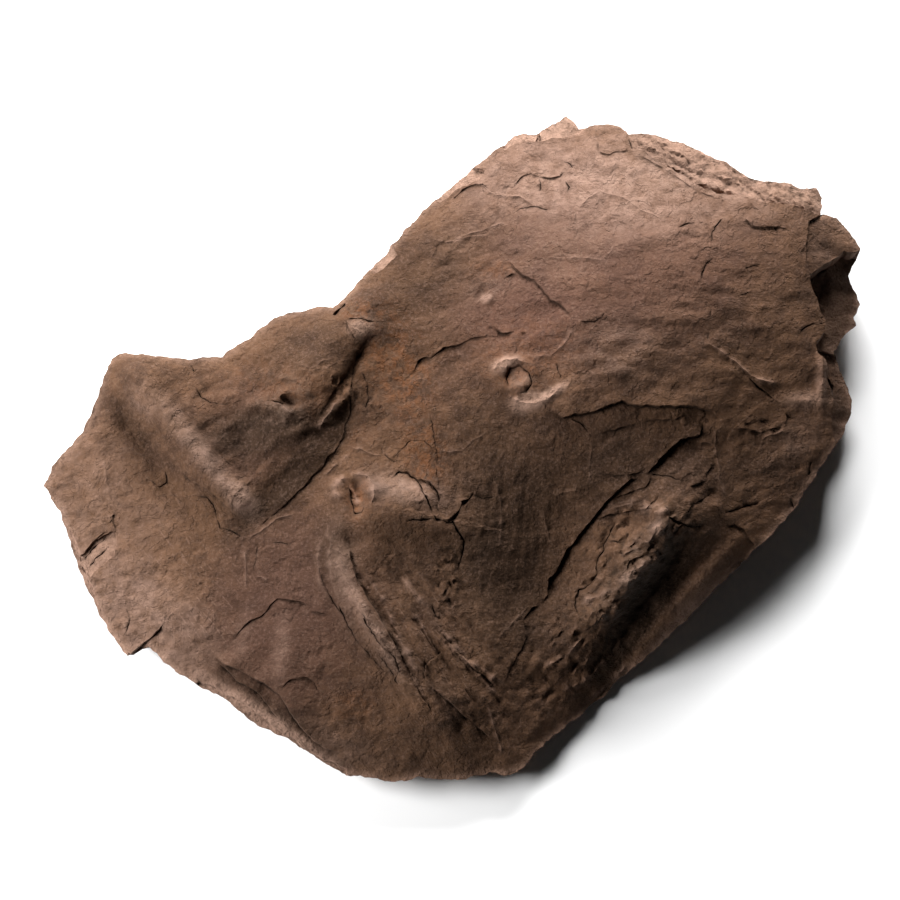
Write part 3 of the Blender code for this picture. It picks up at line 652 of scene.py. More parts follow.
# How far each kind of line strays, in mm, and the share of its listed width that a line has
STEP_RAGGEDNESS = 1.5
FLAKE_RAGGEDNESS = 0.9
BED_RAGGEDNESS = 1.6
CRACK_RAGGEDNESS = 1.3
VEIN_RAGGEDNESS = 1.0
OPENING = 0.8
steps = {}
for count, (name, (points, *sizes)) in enumerate(STEPS.items()):
    steps[name] = (ragged(points, STEP_RAGGEDNESS, seed=10 + count), *sizes)
for count, (name, (pixels, height, reach)) in enumerate(FLAKES.items()):
    line = ragged(on_stone(pixels), FLAKE_RAGGEDNESS, seed=20 + count)
    steps[name] = (line, 0.4 * height, reach, 0.6 * height, 0.8 * reach)
low_beds = {}
for count, (name, (points, depth, freshness)) in enumerate(LOW_BEDS.items()):
    line = ragged(points, BED_RAGGEDNESS, seed=70 + count, closed=True)
    low_beds[name] = (line, depth, freshness)
for count, (name, (pixels, depth, freshness)) in enumerate(BREAKS.items()):
    line = ragged(on_stone(pixels)[::-1], BED_RAGGEDNESS, seed=75 + count, closed=True)
    low_beds[name] = (line, depth, freshness)
cracks = {}
for count, (name, (pixels, width, depth)) in enumerate(CRACKS.items()):
    line = ragged(on_stone(pixels), CRACK_RAGGEDNESS, seed=80 + count)
    cracks[name] = (line, OPENING * width * uneven(line, seed=180 + count), depth)
veins = {}
for count, (name, (pixels, height, width)) in enumerate(VEINS.items()):
    line = ragged(on_stone(pixels), VEIN_RAGGEDNESS, seed=130 + count)
    veins[name] = (line, height, OPENING * width * uneven(line, seed=230 + count, least=0.5))
print("ragged lines:", len(steps) + len(low_beds) + len(cracks) + len(veins))

# %% [markdown]
# The cast side is a net of small triangles. A net is laid by constrained Delaunay triangulation:
# staggered points fill the outline, and the lip and foot of every small cliff are held as edges
# of the net. Subdividing a plane would need far more faces for edges this sharp.

# %% Lines that the net holds
RIM_SPACING = 1.8
RIM_RAGGEDNESS = 1.5
CLIFF_WIDTH = 0.7
rim = ragged(OUTLINE, RIM_RAGGEDNESS, seed=5, closed=True, spacing=RIM_SPACING)[::-1]
rim = np.clip(rim, (-SLAB_LENGTH / 2, -SLAB_WIDTH / 2), (SLAB_LENGTH / 2, SLAB_WIDTH / 2))

courses = []
for line, *_ in steps.values():
    courses += [beside(line, CLIFF_WIDTH / 2), beside(line, -CLIFF_WIDTH / 2)]
for line, *_ in low_beds.values():
    loop = np.vstack([line, line[:1]])
    courses += [beside(loop, CLIFF_WIDTH / 2), beside(loop, -CLIFF_WIDTH / 2)]
for line, width, _ in cracks.values():
    courses += [beside(line, width / 2), line, beside(line, -width / 2)]
for line, _, width in veins.values():
    courses += [beside(line, width), line, beside(line, -width)]
print("rim corners and lines to hold:", len(rim), len(courses))

# %% Staggered points of the net
NET_SPACING = 1.98
GRID_SHAKE = 0.16
across = np.arange(-SLAB_LENGTH / 2, SLAB_LENGTH / 2, NET_SPACING)
down = np.arange(-SLAB_WIDTH / 2, SLAB_WIDTH / 2 + 4, NET_SPACING * math.sqrt(3) / 2)
grid_x, grid_y = np.meshgrid(across, down)
grid_x[1::2] += NET_SPACING / 2
scatter = np.random.default_rng(7)
grid_x = grid_x + scatter.uniform(-GRID_SHAKE, GRID_SHAKE, grid_x.shape) * NET_SPACING
grid_y = grid_y + scatter.uniform(-GRID_SHAKE, GRID_SHAKE, grid_y.shape) * NET_SPACING
grid = np.column_stack([grid_x.ravel(), grid_y.ravel()])
rim_line = [tuple(place) for place in rim]


def clear_of_rim(points, gap=0.5):
    """True for each place that lies inside the rim by at least a gap in mm."""
    deep = depth_inside(points[:, 0], points[:, 1], OUTLINE) > 5.0
    shallow = np.nonzero(~deep)[0]
    deep[shallow] = depth_inside(points[shallow, 0], points[shallow, 1], rim_line) > gap
    return deep


def finder_of(places):
    """A search among places of x, y and z, which finds the nearest one, its number and its distance."""
    finder = kdtree.KDTree(len(places))
    for number, place in enumerate(places):
        finder.insert(place, number)
    finder.balance()
    return finder


grid = grid[clear_of_rim(grid)]
print("points inside the rim:", len(grid))

# %% The net of the cast side
LINE_GAP = 0.3
POINT_GAP = 0.42
MERGE_DISTANCE = 0.02
pieces = []
for course in courses:
    kept = clear_of_rim(course, LINE_GAP)
    breaks = np.nonzero(kept[1:] != kept[:-1])[0] + 1
    pieces += [part for part, keep in zip(np.split(course, breaks), np.split(kept, breaks)) if keep[0]]
courses = pieces
held = finder_of([(px, py, 0) for line in [rim, *courses] for px, py in line])
clear = np.array([held.find((px, py, 0))[2] > POINT_GAP * NET_SPACING for px, py in grid])
grid = grid[clear]

places = [Vector(place) for place in rim]
edges = []
for course in courses:
    first = len(places)
    places += [Vector(place) for place in course]
    edges += [(first + k, first + k + 1) for k in range(len(course) - 1)]
places += [Vector(place) for place in grid]
rim_corners = [list(range(len(rim)))]
net_places, _, net_faces, _, _, _ = delaunay_2d_cdt(places, edges, rim_corners, 1, MERGE_DISTANCE)
used = sorted({index for face in net_faces for index in face})
order = {index: k for k, index in enumerate(used)}
faces = [[order[index] for index in face] for face in net_faces]
x = np.array([net_places[index].x for index in used])
y = np.array([net_places[index].y for index in used])
print("net points and faces:", len(x), len(faces))

# %% [markdown]
# Relief is added in the order of its size. First come the broken steps and low beds, then flakes
# and wrinkles some centimetres across, and last the pits, veins and cracks. Siltstone splits
# along its beds, so much of its unevenness is little terraces: noise that is rounded to steps.

# %% Tools for the relief
def zone(px, py, long, short, turn=0.0):
    """A soft patch of the points in x and y round a pixel, 1 in its middle; reaches in pixels."""
    centre = on_stone([(px, py)])[0]
    return dome_height(x, y, (centre, long * PIXEL, short * PIXEL, turn, 1.0, 1.6))


def close_to(line, reach):
    """Numbers of the points within a reach of the box round a line."""
    low, high = line.min(0) - reach, line.max(0) + reach
    return np.nonzero((x > low[0]) & (x < high[0]) & (y > low[1]) & (y < high[1]))[0]


def terraces(values, rise):
    """Round smooth values to beds of one rise each, with short slopes between."""
    level = values / rise
    below = np.floor(level)
    return rise * (below + smooth_step(0.40, 0.60, level - below))


CREASE_WIDTH = 0.07
CREASE_SHADE = 0.8
LUMP_TOP = 0.5
LUMP_MIDDLE = 0.15


def creased(area, height, long, short, seed, turn=0.0):
    """Rounded lumps in an area; the creases between them are also darkened in the colour as painted shade."""
    wave = np.abs(field(x, y, long, short, seed, turn, 2))
    crease = np.exp(-(wave / CREASE_WIDTH) ** 2)
    # Painted shade: the creases between the lumps are darkened in the colour share.
    np.maximum(dirt_and_shade, CREASE_SHADE * np.minimum(area, 1.0) * crease, out=dirt_and_shade)
    return height * area * (np.minimum(wave, LUMP_TOP) - LUMP_MIDDLE)


print("a soft patch on the heel holds points:", int((zone(600, 300, 60, 60) > 0.5).sum()))

# %% Areas of the cast side
heel_zone = np.maximum(zone(640, 280, 250, 150, 30), zone(480, 300, 110, 110, 40))
sole_zone = zone(510, 540, 75, 120, 5)
middle_zone = zone(430, 640, 110, 60, -55)
left_plate_zone = np.maximum(zone(130, 560, 120, 110, -40), zone(80, 480, 50, 60))
left_toe_zone = zone(240, 420, 130, 90, -20)
smooth_zone = zone(285, 620, 70, 110, -20)
right_toe_zone = zone(620, 580, 110, 52, 56)
toe_low_zone = zone(565, 665, 75, 45, 45)
right_band_zone = zone(760, 470, 90, 60, 40)
pitted_zone = zone(178, 575, 34, 34)
rubble_zone = np.maximum(zone(449, 578, 16, 36), zone(352, 392, 16, 34, 55))
heel_right_zone = zone(680, 320, 150, 80, 20)
heel_left_zone = zone(465, 265, 48, 48)
heel_top_zone = zone(600, 210, 170, 80)
bottom_zone = zone(375, 725, 80, 34)
ledge_zone = zone(740, 178, 120, 45, -18)
ledge_head_zone = zone(675, 168, 46, 24, -28)
ledge_dark_zone = zone(664, 156, 36, 20, -30)
print("points in the middle of the heel:", int((heel_zone > 0.5).sum()))

# %% Low beds and broken steps
STEP_FADE = 1.3
FOOT_WIDTH = 1.4
FOOT_LIMIT = 5
FOOT_DEPTH = 0.15
FOOT_SHADE = 0.30
FOOT_SHADE_PER_MM = 0.22
z = form_height(x, y)
fresh = np.zeros(len(x))
dirt_and_shade = np.zeros(len(x))
for line, depth, freshness in low_beds.values():
    near = close_to(line, 3.0)
    fallen = smooth_step(-CLIFF_WIDTH / 2, CLIFF_WIDTH / 2,
                         depth_inside(x[near], y[near], [tuple(place) for place in line]))
    z[near] -= depth * fallen
    fresh[near] = np.maximum(fresh[near], freshness * fallen)
for count, (line, rise, rise_reach, fall, fall_reach) in enumerate(steps.values()):
    near = close_to(line, 2.2 * max(rise_reach, fall_reach))
    distance, offset, share = line_field(x[near], y[near], line)
    ends = taper(share, STEP_END)
    if count >= len(STEPS):
        along = share * len(line) * LINE_SPACING
        wander = field(along / max(8.0, 1.4 * fall_reach), 0 * share, 1, 1, seed=90.0 + count, octaves=2)
        ends = ends * np.maximum(0.0, 0.85 + 1.3 * wander)
    high = smooth_step(-CLIFF_WIDTH / 2, CLIFF_WIDTH / 2, offset)
    z[near] += ends * high * rise * np.exp(-(distance / rise_reach) ** STEP_FADE)
    z[near] -= ends * (1 - high) * fall * np.exp(-(distance / fall_reach) ** STEP_FADE)
    # Painted shade: the foot of each small cliff is darkened in the colour share, where its shadow falls.
    foot = np.exp(-(np.maximum(-offset, 0) / FOOT_WIDTH) ** 2)
    foot = foot * (distance < FOOT_LIMIT) * ends * (1 - high)
    z[near] -= FOOT_DEPTH * (rise + fall) * foot
    dirt_and_shade[near] = np.maximum(dirt_and_shade[near], foot * min(1.0, FOOT_SHADE + FOOT_SHADE_PER_MM * (rise + fall)))
print("highest place after the steps, mm:", round(float(z.max()), 1))

# %% [markdown]
# Unevenness is noise in layers, and each layer keeps to its own area, size and direction. So the
# heel lies in broad level swells, the sole and the middle toe run along their length, and the
# ends of the toes are coarse. The pale ledge is rubble; the creases between lumps get painted shade.

# %% Unevenness
# Each layer: area, height in mm, long and short size in mm, seed, turn in degrees, octaves
LAYERS = {
    "heel swells": (heel_zone, 1.3, 48, 21, 21.0, 8, 2),
    "heel ripples": (heel_right_zone, 0.8, 24, 7, 23.0, -4, 3),
    "heel left facets": (heel_left_zone, 1.6, 11, 6, 30.0, 35, 3),
    "bottom facets": (bottom_zone, 1.0, 9, 6, 38.0, 60, 3),
    "rubble grains": (rubble_zone, 1.0, 5, 5, 24.0, 0, 3),
    "whole skin": (1.0, 0.8, 19, 15, 25.0, 20, 3),
    "left plate facets": (left_plate_zone + 0.5 * left_toe_zone, 0.7, 7.5, 5.5, 27.0, -50, 4),
    "left toe swells": (left_toe_zone, 2.2, 34, 17, 28.0, 35, 3),
    "sole ribs": (sole_zone, 0.8, 30, 4.2, 29.0, 84, 3),
    "middle toe ribs": (middle_zone, 1.5, 30, 5.5, 31.0, -57, 3),
    "right toe swells": (right_toe_zone, 2.0, 19, 9, 33.0, 50, 3),
    "right toe facets": (right_toe_zone, 1.4, 9, 4.5, 36.0, 30, 3),
    "toe foot facets": (toe_low_zone, 1.5, 10, 6, 34.0, 56, 4),
    "right band folds": (right_band_zone, 0.9, 26, 7, 35.0, 30, 3),
}
for area, height, *sizes in LAYERS.values():
    z += height * area * field(x, y, *sizes)
z += middle_zone * terraces(3.0 * field(x, y, 40, 9, seed=32.0, turn=-57, octaves=3), rise=0.9)
z -= 1.6 * pitted_zone * np.maximum(field(x, y, 5, 5, seed=37.0, octaves=2) - 0.1, 0)

# Each set of creased lumps: area, height in mm, long and short size in mm, seed, turn in degrees
CREASED = {
    "rubble": (rubble_zone, 4.0, 9, 5, 51.0, 84),
    "right toe": (1.1 * right_toe_zone, 4.4, 15, 8, 53.0, 50),
    "left toe": (0.5 * left_toe_zone, 3.0, 26, 11, 55.0, 35),
    "toe foot": (0.6 * toe_low_zone, 4.0, 13, 7, 57.0, 50),
}
for sizes in CREASED.values():
    z += creased(*sizes)

roughness = 1.0 - 0.75 * smooth_zone
skin_flakes = terraces(2.0 * field(x, y, 52, 22, seed=41.0, turn=15, octaves=4), rise=0.55) * 0.6
z += roughness * skin_flakes * (0.8 - 0.5 * heel_top_zone)
z += 0.22 * roughness * field(x, y, 4.6, 3.4, seed=43.0, turn=10, octaves=3)

rubble = fresh * (0.3 + 0.6 * ledge_zone + 0.3 * ledge_head_zone)
z += creased(1.3 * rubble, 4.0, 17, 6, seed=45.0, turn=-32)
z += rubble * 0.9 * field(x, y, 5, 3.2, seed=47.0, turn=-30, octaves=3)
z += rubble * terraces(4.5 * field(x, y, 20, 6, seed=48.0, turn=-32, octaves=3), rise=1.3)
fresh *= 1.0 - 0.4 * ledge_dark_zone
print("layers of unevenness:", len(LAYERS) + len(CREASED))

# %% Lumps, veins and cracks
for (px, py), long, short, turn, height, fullness in LUMPS.values():
    centre = on_stone([(px, py)])[0]
    z += dome_height(x, y, (centre, long, short, turn, height, fullness))
LINE_REACH = 6.0
VEIN_END = 0.2
CRACK_END = 0.15
LIP_SHARE = 0.35
LIP_WIDTH = 4.0
vein_and_highlight = np.zeros(len(x))
for line, height, width in veins.values():
    near = close_to(line, LINE_REACH)
    distance, _, share = line_field(x[near], y[near], line)
    here = np.interp(share, np.linspace(0, 1, len(line)), width)
    ends = taper(share, VEIN_END) * here / width.mean()
    ridge = ends * np.exp(-(distance / here) ** 2)
    z[near] += height * ridge
    # Pale vein tone plus a painted highlight along the crest of each raised line.
    vein_and_highlight[near] = np.maximum(vein_and_highlight[near], ridge * min(1.0, 0.6 * height))
for line, width, depth in cracks.values():
    near = close_to(line, LINE_REACH)
    distance, offset, share = line_field(x[near], y[near], line)
    here = np.interp(share, np.linspace(0, 1, len(line)), width)
    ends = taper(share, CRACK_END) * np.minimum(here / width.mean(), 1.3)
    groove = np.maximum(0.0, 1.0 - distance / (0.6 * here))
    z[near] -= depth * ends * groove
    lip = (offset > 0) * np.exp(-(distance / LIP_WIDTH) ** 2) * (1 - groove)
    z[near] += LIP_SHARE * depth * ends * lip
    dirt_and_shade[near] = np.maximum(dirt_and_shade[near], np.minimum(1.0, ends) * np.exp(-(distance / (0.5 * here)) ** 2))
print("relief from", round(float(z.min()), 1), "to", round(float(z.max()), 1), "mm")

# %% [markdown]
# The broken side shows the beds edge-on. It is modelled from a grid primitive, as a strip with
# one column for each point of the rim and one row for each bed, and wrapped round the slab. Its
# last row lies on the ground and is closed to the flat underside.

# %% The broken side
# Each ring: share of the way down, share of the way in to the foot
SIDE_RINGS = [(0.0, 0.0), (0.13, 0.02), (0.17, 0.16), (0.46, 0.10), (0.52, 0.34), (0.82, 0.42), (1.0, 1.0)]
SIDE_ROWS = 15
FOOT_INSET = 15.0
FOOT_SMOOTHING = 420
BED_THICKNESS = 7.0
BED_PUSH = 2.5
LUMP_SIZE = 26.0
LUMP_PUSH = 3.0
PUSH_BACK = 0.8
PUSH_LIMIT = 0.3
rim_count = len(rim)
plan = finder_of([(px, py, 0) for px, py in zip(x, y)])
rim_number = np.array([plan.find((px, py, 0))[1] for px, py in rim])
rim_z = z[rim_number]

smoothed = rim.copy()
for _ in range(FOOT_SMOOTHING):
    smoothed = (np.roll(smoothed, 1, 0) + 2 * smoothed + np.roll(smoothed, -1, 0)) / 4
runs = np.roll(smoothed, -1, 0) - np.roll(smoothed, 1, 0)
runs /= np.linalg.norm(runs, axis=1)[:, None]
outward = np.column_stack([runs[:, 1], -runs[:, 0]])
foot = smoothed - FOOT_INSET * outward

bpy.ops.object.select_all(action="DESELECT")
bpy.ops.mesh.primitive_grid_add(x_subdivisions=rim_count, y_subdivisions=SIDE_ROWS)
side = bpy.context.object
side.name = "broken_side"
downs = np.linspace(0.0, 1.0, SIDE_ROWS + 1)
rows = []
for row, share in enumerate(downs):
    inward = np.interp(share, [ring[0] for ring in SIDE_RINGS], [ring[1] for ring in SIDE_RINGS])
    course = rim + (foot - rim) * inward
    heights = rim_z * (1.0 - share)
    if 0 < row < SIDE_ROWS:
        beds = field(heights, np.zeros(rim_count), BED_THICKNESS, BED_THICKNESS, seed=61.0)
        round_x, round_y = rim[:, 0] + 2.2 * heights, rim[:, 1] + 3.1 * heights
        rough = field(round_x, round_y, LUMP_SIZE, LUMP_SIZE, seed=63.0, octaves=4)
        push = np.minimum(LUMP_PUSH * rough + BED_PUSH * beds - PUSH_BACK, PUSH_LIMIT)
        course = course + outward * push[:, None]
    ring = np.column_stack([course, heights])
    rows.append(np.vstack([ring, ring[:1]]))
side_co = np.vstack(rows)
side.data.vertices.foreach_set("co", side_co.ravel())
side.data.update()
print("side columns and rows:", rim_count, SIDE_ROWS)

# %% The underside
bpy.ops.mesh.primitive_circle_add(vertices=rim_count, fill_type="NGON")
underside = bpy.context.object
underside.name = "underside"
underside.data.vertices.foreach_set("co", rows[-1][:-1].ravel())
underside.data.update()
print("underside corners:", len(underside.data.vertices))

# %% Join the three surfaces into one stone
WELD_DISTANCE = 0.01
top_mesh = bpy.data.meshes.new("siltstone_footprint")
top_mesh.from_pydata(np.column_stack([x, y, z]).tolist(), [], faces)
stone = bpy.data.objects.new("siltstone_footprint", top_mesh)
bpy.context.scene.collection.objects.link(stone)
side.select_set(True)
underside.select_set(True)
stone.select_set(True)
bpy.context.view_layer.objects.active = stone
bpy.ops.object.join()
bpy.ops.object.mode_set(mode="EDIT")
bpy.ops.mesh.select_all(action="SELECT")
bpy.ops.mesh.remove_doubles(threshold=WELD_DISTANCE)
bpy.ops.mesh.quads_convert_to_tris(quad_method="BEAUTY", ngon_method="BEAUTY")
bpy.ops.mesh.normals_make_consistent(inside=False)
bpy.ops.mesh.select_all(action="DESELECT")
bpy.ops.mesh.select_non_manifold()
bpy.ops.object.mode_set(mode="OBJECT")
open_edges = sum(edge.select for edge in stone.data.edges)
print("stone triangles:", len(stone.data.polygons), "open or doubled edges:", open_edges)

# %% [markdown]
# The finish follows the stone's history, so it needs to know where each place lies: how fresh
# its break is, how much dirt its cracks hold, where iron stained it. Some shares also paint light
# and shade into the colour: shade at the feet of steps, in creases and on the right toe's flank,
# and light on lit crests, ledges and ridges. These shares are stored as named attributes on the
# points, measured from the same lines as the relief.

# %% Points of the joined stone
SAME_POINT = 0.05
source = finder_of(list(zip(x, y, z)))
co = np.empty(len(stone.data.vertices) * 3, np.float32)
stone.data.vertices.foreach_get("co", co)
co = co.reshape(-1, 3).astype(float)
x, y = co[:, 0], co[:, 1]
matches = [source.find(place) for place in co]
is_top = np.array([match[2] < SAME_POINT for match in matches])
number = np.array([match[1] for match in matches])


def from_net(values, elsewhere):
    """Carry values of the net's points to the joined stone's points."""
    return np.where(is_top, values[number], elsewhere)


print("points of the cast side and of the rest:", int(is_top.sum()), int((~is_top).sum()))

# %% Patches of the finish: pixel, two reaches in pixels, turn in degrees, strength
RUST = {
    "notch": (395, 360, 34, 60, 20, 1.0),
    "sole upright": (425, 455, 22, 34, 10, 0.9),
    "toe corner": (362, 312, 26, 12, 0, 0.8),
    "heel smudge": (495, 268, 22, 12, 0, 0.5),
    "lower plate": (355, 705, 20, 14, 0, 0.5),
    "heel pit": (516, 378, 16, 16, 0, 0.9),
    "ring": (356, 498, 12, 24, 0, 0.9),
    "left toe back": (300, 400, 70, 30, -30, 0.5),
    "heel foot": (530, 350, 60, 40, 0, 0.35),
}
PLUM = {
    "lower plate": (285, 620, 75, 105, -20, 1.0),
    "heel": (620, 270, 150, 90, 20, 0.8),
    "heel top": (540, 190, 90, 60, 20, 0.5),
    "heel left": (500, 320, 70, 50, 0, 0.5),
    "left toe": (250, 430, 60, 50, 0, 0.5),
}
# Pale patches: partly pale dust, partly painted light on lit crests, ledges and rims, and a painted glint at
# the bright pit.
DUST_AND_PAINTED_LIGHT = {
    "heel top": (604, 178, 150, 56, -8, 0.95),
    "left tip": (80, 485, 52, 70, 0, 0.4),
    "lower left": (140, 610, 95, 45, -45, 0.7),
    "left toe crest": (196, 446, 76, 11, -52, 0.6),
    "toe knuckle": (240, 497, 18, 11, -42, 0.9),
    "middle toe head": (405, 489, 42, 14, -12, 0.55),
    "middle toe head core": (412, 491, 14, 8, -30, 0.4),
    "heel left": (470, 220, 60, 30, 45, 0.15),
    "bottom": (330, 745, 60, 20, -25, 0.3),
    "light plank": (821, 378, 6, 26, 0, 0.5),
    "light ledge": (806, 401, 26, 8, 0, 0.15),
    "middle toe side": (344, 575, 7, 36, 8, 0.3),
    "middle toe crest": (378, 636, 46, 8, -58, 0.4),
    "middle toe crest top": (357, 602, 46, 8, -60, 0.45),
    "bright pit": (486, 298, 5, 5, 0, 1.5),
    "right toe shelf": (672, 634, 50, 8, 52, 0.9),
    "right toe shelf top": (690, 600, 44, 9, 52, 0.3),
    "pale ledge": (730, 190, 46, 12, -26, 0.4),
    "lower left rim": (270, 724, 100, 6, -36, 0.9),
    "left rim": (80, 560, 66, 5, -68, 0.9),
    "left plate": (150, 520, 34, 30, 0, 0.25),
    "right lobe": (830, 250, 26, 16, 0, 0.2),
    "right band": (790, 440, 30, 20, 30, 0.15),
    "lower plate rib": (281, 650, 36, 9, 86, 0.35),
    "lower plate rib left": (243, 632, 26, 8, 80, 0.25),
    "left toe trough": (142, 402, 20, 12, -50, 0.5),
}
# Painted shade: darker patches where the stone lies in shade, as on the steep flank of the right toe.
SHADE = {
    "left toe low": (262, 430, 70, 30, 10, 1.15),
    "left toe flank": (318, 452, 70, 16, 54, 1.1),
    "left toe foot": (270, 492, 50, 14, 45, 0.65),
    "left toe foot low": (250, 520, 40, 14, 40, 0.3),
    "left toe trough": (135, 430, 36, 11, -58, 0.5),
    "left toe back": (305, 350, 70, 26, 25, 0.5),
    "sole": (510, 560, 60, 120, 5, 0.95),
    "sole right": (630, 465, 90, 40, 20, 0.75),
    "sole top": (520, 430, 90, 40, 0, 0.2),
    "right toe flank": (646, 610, 84, 20, 55, 1.3),
    "right toe head": (650, 545, 50, 16, 56, 0.5),
    "right toe foot": (610, 590, 60, 26, 50, 0.4),
    "heel left": (420, 290, 80, 40, 45, 0.55),
    "notch": (440, 345, 50, 30, 10, 0.3),
    "heel middle": (610, 320, 60, 20, 10, 0.15),
    "heel right": (700, 330, 60, 50, 0, 0.1),
    "middle toe": (430, 570, 60, 60, 0, 0.25),
    "middle toe left": (400, 560, 30, 40, 0, 0.2),
    "middle toe low": (450, 690, 60, 26, -50, 0.35),
    "middle toe side": (336, 545, 30, 44, 0, 0.5),
    "bottom": (440, 745, 60, 22, 0, 0.35),
    "lower plate": (285, 615, 80, 100, -20, 0.45),
    "lower left band": (262, 700, 66, 10, -38, 0.5),
    "right band": (740, 480, 70, 40, 40, 0.4),
    "right lumps": (842, 400, 12, 30, 0, 0.65),
    "right lobe": (836, 312, 24, 34, 0, 0.5),
    "pale ledge head": (668, 160, 40, 16, -28, 0.55),
}
SATIN = {
    "toe knuckle": (240, 497, 20, 14, -42, 1.0),
    "left toe crest": (196, 446, 76, 9, -52, 0.6),
    "left toe back": (280, 410, 50, 30, 20, 0.6),
    "left toe wrinkle": (282, 409, 16, 7, -30, 0.6),
    "middle toe side": (345, 575, 16, 60, 10, 1.0),
    "middle toe crest top": (360, 606, 50, 9, -60, 0.8),
    "middle toe crest": (385, 645, 60, 14, -55, 1.0),
    "middle toe head": (402, 488, 40, 14, -12, 0.9),
    "heel foot": (620, 352, 50, 30, 0, 0.9),
    "heel top": (600, 200, 110, 60, 0, 0.5),
    "heel left": (550, 260, 60, 30, 0, 0.4),
    "bright pit": (485, 290, 24, 14, 20, 0.9),
    "right toe crest": (640, 560, 60, 24, 50, 0.8),
    "right toe foot": (605, 608, 20, 14, 30, 0.9),
}
FRESH_SCARS = {
    "heel pit rubble": (528, 402, 16, 9, 8, 1.0),
    "heel pit tail": (550, 394, 20, 5, 30, 0.9),
    "heel pit scar": (506, 364, 14, 8, 15, 1.0),
    "heel pit floor": (519, 380, 12, 12, 0, 0.3),
    "toe corner": (362, 328, 14, 10, 0, 0.7),
    "light ledge": (806, 401, 26, 9, 0, 0.3),
    "lower left rim": (284, 736, 80, 10, -36, 1.6),
}
print("patches:", sum(len(spots) for spots in (RUST, PLUM, DUST_AND_PAINTED_LIGHT, SHADE, SATIN, FRESH_SCARS)))

# %% Shares for the finish
SMOOTH_ANGLE = 42
RIM_BREAK_REACH = 3.6
rim_gap = np.abs(depth_inside(x, y, OUTLINE))
rim_break = np.exp(-(rim_gap / RIM_BREAK_REACH) ** 2) * is_top * (0.5 + 0.5 * zone(140, 640, 260, 200))


def patches(spots):
    """The sum of overlapping soft patches, each as strong as its last number says."""
    total = np.zeros(len(x))
    for px, py, long, short, turn, strength in spots.values():
        total += strength * zone(px, py, long, short, turn)
    return total


masks = {
    "fresh_break": np.clip(from_net(fresh, 0.7) + 0.8 * rim_break + patches(FRESH_SCARS) * is_top, 0, 1),
    # Dirt in the cracks, plus painted shade at the feet of steps, in creases and on the steep flank of the
    # right toe.
    "crack_dirt_and_shade": np.clip(from_net(dirt_and_shade, 0.25) + 0.75 * zone(643, 600, 84, 14, 55) * is_top, 0, 1),
    # Pale vein tone and painted highlight on lit ridges, stronger on the heel top.
    "pale_vein_and_highlight": from_net(vein_and_highlight, 0.0) * (1.0 + zone(560, 215, 140, 90)),
    "beds_edge_on": 1.0 * ~is_top,
    "iron_stain": np.clip(patches(RUST), 0, 1) * is_top,
    "plum_mud": np.clip(patches(PLUM), 0, 1) * is_top,
    "pale_dust_and_light": np.clip(patches(DUST_AND_PAINTED_LIGHT), 0, 1),
    "painted_shade": np.clip(patches(SHADE), 0, 1) * is_top,
    "satin_wear": np.clip(patches(SATIN), 0, 1) * is_top,
    "flaky": np.clip(from_net(roughness, 0.6), 0, 1),
    "level_grain": zone(690, 330, 150, 90, 20) * is_top,
    "upright_grain": np.clip(zone(515, 550, 85, 140) + 0.5 * zone(440, 500, 60, 120), 0, 1) * is_top,
    "slant_grain": np.clip(zone(430, 640, 130, 70, -55), 0, 1) * is_top,
    "scuffed": np.clip(zone(430, 650, 110, 40, -55) + zone(170, 590, 90, 70, -40), 0, 1) * is_top,
}
for name, values in masks.items():
    layer = stone.data.attributes.new(name, "FLOAT", "POINT")
    layer.data.foreach_set("value", values.astype(np.float32))

stone.data.vertices.foreach_set("co", (co * MM).astype(np.float32).ravel())
stone.data.update()
bpy.ops.object.select_all(action="DESELECT")
stone.select_set(True)
bpy.context.view_layer.objects.active = stone
bpy.ops.object.shade_smooth_by_angle(angle=math.radians(SMOOTH_ANGLE))
print("attributes:", sorted(masks))

# %% [markdown]
# Siltstone is quartz and clay cemented by iron oxide. Its old bedding skin is dark red-brown and
# compact, with a satin lustre where hands and water have worn it, and it is paler, pinker and
# quite dull where it is freshly broken. The colours are sRGB hex values, turned to linear once.

# %% Material helpers
def linear(hex_colour):
    """An sRGB hex colour as linear red, green, blue and alpha."""
    parts = [int(hex_colour[k:k + 2], 16) / 255 for k in (1, 3, 5)]
    return [part / 12.92 if part <= 0.04045 else ((part + 0.055) / 1.055) ** 2.4 for part in parts] + [1.0]


def add_node(tree, kind, settings=None, inputs=None):
    """Add a node with its settings, and set or link its inputs; returns the node."""
    node = tree.nodes.new("ShaderNode" + kind)
    for key, value in (settings or {}).items():
        setattr(node, key, value)
    for key, value in (inputs or {}).items():
        if isinstance(value, bpy.types.NodeSocket):
            tree.links.new(value, node.inputs[key])
        else:
            node.inputs[key].default_value = value
    return node


print("white in linear shares:", linear("#ffffff"))

# %% Tools for the finish of the siltstone
siltstone = bpy.data.materials.new("siltstone")
siltstone.use_nodes = True
tree = siltstone.node_tree
shader = tree.nodes["Principled BSDF"]
where = add_node(tree, "TexCoord").outputs["Object"]


def share_of(name):
    """Read one of the stone's shares."""
    return add_node(tree, "Attribute", {"attribute_name": name}).outputs["Fac"]


def speckle(size_mm, detail=4.0, rough=0.6, stretch=(1, 1, 1), turn=0.0, distortion=0.0):
    """Noise whose patches are about size_mm across; stretch is in the stone's own directions."""
    turned = add_node(tree, "Mapping", {"vector_type": "TEXTURE"},
                      {"Vector": where, "Rotation": (0, 0, math.radians(turn)), "Scale": stretch})
    return add_node(tree, "TexNoise", None, {"Vector": turned.outputs["Vector"], "Scale": 1 / (size_mm * MM),
                                            "Detail": detail, "Roughness": rough,
                                            "Distortion": distortion}).outputs["Fac"]


